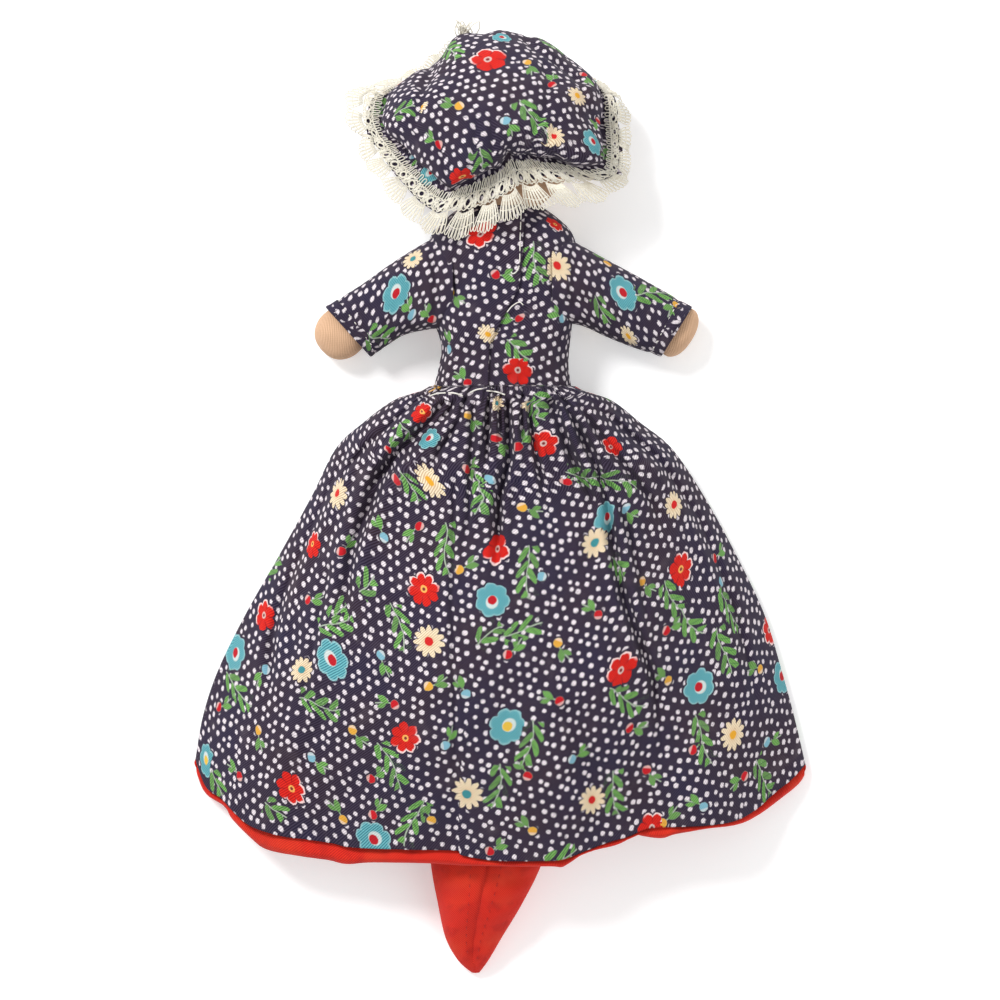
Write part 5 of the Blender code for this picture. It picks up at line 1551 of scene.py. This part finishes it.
def lace_threads(strip):
    """Machine lace: a looped heading, a net with round eyes between two braids, and fans of long loops."""
    chance = np.random.default_rng(9)
    ways = []
    length = strip.length
    # heading loops over the brim
    count = int(length / 2.0)
    for i in range(count):
        s = i * length / count
        jog = chance.uniform(-0.15, 0.15)
        top = chance.uniform(-2.3, -1.9)
        ways.append(strip.place(
            [s - 0.42, s - 0.60 + jog, s - 0.48 + jog, s + jog, s + 0.48 + jog, s + 0.60 + jog, s + 0.42],
            [0.9, top + 1.1, top + 0.35, top, top + 0.35, top + 1.1, 0.9]))
    # braids
    for base, wave, pace in ((0.6, 0.22, 4.05), (1.0, 0.22, 4.05), (4.6, 0.25, 3.1)):
        s = np.arange(0, length + 0.5, 0.5)
        ways.append(strip.place(s, base + wave * np.sin(s * pace + base * 9)))
    # bars between round eyes
    eyes = int(length / 5.2)
    pitch = length / eyes
    for i in range(eyes):
        s = (i + 0.5) * pitch
        turns = np.linspace(0, TURN, 15)
        for size in (1.05, 1.4):
            wobble = 1 + 0.08 * np.sin(turns * 2 + i)
            ways.append(strip.place(s + size * wobble * np.cos(turns), 2.8 + size * wobble * np.sin(turns)))
        for off in (1.75, 2.25, 2.6, 2.95, 3.45):
            jog = chance.uniform(-0.25, 0.25)
            ways.append(strip.place([s + off, s + off + jog, s + off - jog, s + off], [1.0, 2.2, 3.4, 4.6]))
        ways.append(strip.place([s + 1.4, s + 2.0, s + 3.2, s + 3.8], [2.4, 1.9, 3.7, 3.2]))
        ways.append(strip.place([s + 1.4, s + 2.0, s + 3.2, s + 3.8], [3.2, 3.7, 1.9, 2.4]))
    # fans of long loops that spread from the lower braid to a scalloped edge
    fans = int(length / 9.4)
    wide = length / fans
    loops = 8
    for fan in range(fans):
        middle = (fan + 0.5) * wide
        for k in range(loops):
            place = (k + 0.5) / loops - 0.5
            near, far = middle + place * wide * 0.62, middle + place * wide * chance.uniform(0.97, 1.03)
            half = 0.36 * wide / loops
            end = 12.4 - 2.6 * abs(place) ** 1.7 * 2 + chance.uniform(-0.2, 0.2)
            start = 4.7 + 0.8 * math.cos(place * 3)
            mid = (start + end) / 2
            bow = (near + far) / 2 + place * 0.9
            ways.append(strip.place(
                [near - half * 0.5, bow - half * 0.9, far - half, far - half * 0.7, far, far + half * 0.7,
                 far + half, bow + half * 0.9, near + half * 0.5],
                [start, mid, end - 0.9, end - 0.25, end, end - 0.25, end - 0.9, mid, start]))
        turns = np.linspace(-0.5, 0.5, 9)
        ways.append(strip.place(middle + turns * wide * 0.72, 6.0 + 0.9 * np.cos(turns * 3)))
        ways.append(strip.place(middle + turns * wide * 0.9, 9.0 + 1.0 * np.cos(turns * 3) - 0.5))
    return ways


def cap_tuft():
    """Frayed ends of the lace's seam, above the brow."""
    chance = np.random.default_rng(12)
    ways = []
    for _ in range(26):
        start = chance.uniform(460, 475), chance.uniform(36, 42)
        end = chance.uniform(456, 480), chance.uniform(21, 29)
        middle = (start[0] + end[0]) / 2 + chance.uniform(-5, 5), (start[1] + end[1]) / 2 - chance.uniform(0, 3)
        x, y = smooth_rows(line(start, middle, end), 9).T
        z = np.linspace(chance.uniform(0.013, 0.016), chance.uniform(0.015, 0.020), 9)
        ways.append(np.stack((x, y, z), axis=1))
    return ways


def make_cap():
    crown, brim, around = cap_grid()
    cap = grid_piece("cap_calico", np.concatenate((crown, brim)), True, CALICO, CAP_CLOTH, 270, printed,
                     is_round=True, inside=(0, CAP_MIDDLE_Y, 0.01))
    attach(cap, "head")
    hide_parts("cap")
    strip = Strip(lace_grid(crown[-1], brim, around), across_from=-2.3, across_to=12.6)
    lace = tubes("cap_lace_threads", lace_threads(strip) + cap_tuft(), RADIUS["lace"], LACE, 4)
    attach(lace, "head")
    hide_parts("cap_lace")
    elastic = crown[-1] + (crown[-1].mean(axis=0) - crown[-1]) * 0.05
    cord = tubes("cap_elastic_ring", [np.concatenate((elastic[::4], elastic[:1]))], RADIUS["elastic"], THREAD, 6)
    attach(cord, "head")
    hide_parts("cap_elastic")


# Stitches

def laid(piece, way, lift=0.0002):
    """A thread's way over a piece's upper side: points (x, y) to points in space."""
    flat = SURFACES[piece].reshape(-1, 3)
    flat = flat[flat[:, 2] > np.median(flat[:, 2]) * 0.6]
    near = [np.hypot(flat[:, 0] - x, flat[:, 1] - y).argsort()[:3] for x, y in way]
    heights = np.array([flat[i, 2].max() for i in near])
    return np.column_stack((way, heights + lift))


def even_places(way, spacing):
    """A broken line with points at an even spacing."""
    lengths = np.concatenate(([0], np.cumsum(np.linalg.norm(np.diff(way, axis=0), axis=1))))
    places = np.arange(0, lengths[-1], spacing)
    return np.column_stack([np.interp(places, lengths, column) for column in way.T])


def running(way, long, gap, lift=0.0003):
    """Stitches along a way in space, each coming up out of the cloth and going down into it."""
    fine = even_places(way, 0.0003)
    count, skip = int(long / 0.0003), int(gap / 0.0003)
    rise = np.sin(np.linspace(0, np.pi, count)) * lift * 1.6 - lift * 0.6
    found = []
    for first in range(0, len(fine) - count, count + skip):
        stitch = fine[first : first + count].copy()
        stitch[:, 2] += rise
        found.append(stitch)
    return found


def sew(name, body, ways, radius, material, replaced=()):
    stitches = tubes(name, ways, radius, material, 6)
    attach(stitches, body)
    if replaced:
        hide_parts(*replaced)


# in pixels of the photograph: the waist's basting stitches, the back's seam, and the loose ends of its thread
BASTING = (
    ((430, 397), (446, 394)), ((449, 394), (463, 397)), ((470, 394), (482, 390)), ((487, 392), (505, 396)),
)
BACK_SEAM = (521, 214), (520, 240), (519.5, 268)
LOOSE_ENDS = (
    ((519, 268), (517, 273), (513, 276), (511, 274)),
    ((507, 314), (512, 308), (519, 304), (523, 307)),
)


def make_stitches():
    basting = []
    for start, end in BASTING:
        way = smooth_rows(line(start, ((start[0] + end[0]) / 2, (start[1] + end[1]) / 2 - 1), end), 9)
        basting.append(laid("skirt", way, 0.0004))
    sew("waist_stitches", "body", basting, RADIUS["waist"], THREAD, ["waist_thread"])
    lap = laid("bodice_left_calico", smooth_rows(line(*BACK_SEAM), 30), 0.0001)
    ways = running(lap, 0.0030, 0.0006)
    for pixels in LOOSE_ENDS:
        ways.append(laid("bodice_left_calico", smooth_rows(line(*pixels), 12), 0.0003))
    sew("bodice_stitches", "body", ways, RADIUS["bodice"], THREAD)
    for side in ("left", "right"):
        rings = SURFACES[side]
        ring = rings[HEM_ROW]
        centre = ring.mean(axis=0)
        ring = centre + (ring - centre) * 1.004
        sew(f"sleeve_{side}_stitches", f"arm_{side}",
            running(np.concatenate((ring, ring[:1])), 0.0012, 0.0018, 0.0002), RADIUS["sleeve"], THREAD)
    for side in ("left", "right"):
        edge = SURFACES[f"hood_{side}_red"][20:-12, -4]
        edge = np.column_stack((edge[:, :2], edge[:, 2] + 0.0001))
        ways = running(edge, 0.0016, 0.0020, 0.0002)
        sew(f"hood_{side}_stitches", "lower_head", ways, RADIUS["hood"], RED_THREAD)


def make_face(name, body, node, points, towards):
    """A plain stitched face under the head: two oval eyes, a nose and a smile."""
    low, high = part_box(node)
    middle_x, middle_y = (low[0] + high[0]) / 2, (low[1] + high[1]) / 2
    under = points.reshape(-1, 3)
    under = under[under[:, 2] < np.median(under[:, 2])]

    def on_face(way):
        """Places in mm from the middle of the face, right and towards the brow."""
        found = []
        for right, up in way:
            x, y = middle_x + right * MM, middle_y + up * MM * towards
            near = np.hypot(under[:, 0] - x, under[:, 1] - y).argmin()
            found.append((x, y, max(under[near, 2] - 0.0001, 0.0003)))
        return np.array(found)

    eyes = []
    for side in (-1, 1):
        for k in np.linspace(-1, 1, 9):
            half = 1.9 * math.sqrt(1 - 0.9 * k * k)
            eyes.append(on_face([(side * 7.6 + k * 1.25, 2.4 + t * half) for t in (-1, -0.5, 0, 0.5, 1)]))
    sew(f"{name}_eye_stitches", body, eyes, RADIUS["eye"], DARK_THREAD)
    smile = []
    for k in range(7):
        turns = np.linspace(-0.62 + k * 0.1771, -0.62 + (k + 0.86) * 0.1771, 5)
        smile.append(on_face([(8.5 * math.sin(t), -1.0 - 8.5 * math.cos(t)) for t in turns]))
    smile.append(on_face([(-0.6, -3.0), (0, -3.3), (0.6, -3.0)]))
    sew(f"{name}_mouth_stitches", body, smile, RADIUS["mouth"], RED_THREAD)


studio()
make_torso()
make_bodice()
make_skirt()
make_arms()
make_lower_doll()
make_hood()
make_head("head_cotton", "head", "head_skin", 1)
make_head("lower_head_cotton", "lower_head", "lower_head_skin", -1, LOWER_HEAD_DROP)
make_cap()
make_stitches()
make_face("head", "head", "head_skin", SURFACES["head_cotton"], 1)
make_face("lower_head", "lower_head", "lower_head_skin", SURFACES["lower_head_cotton"], -1)
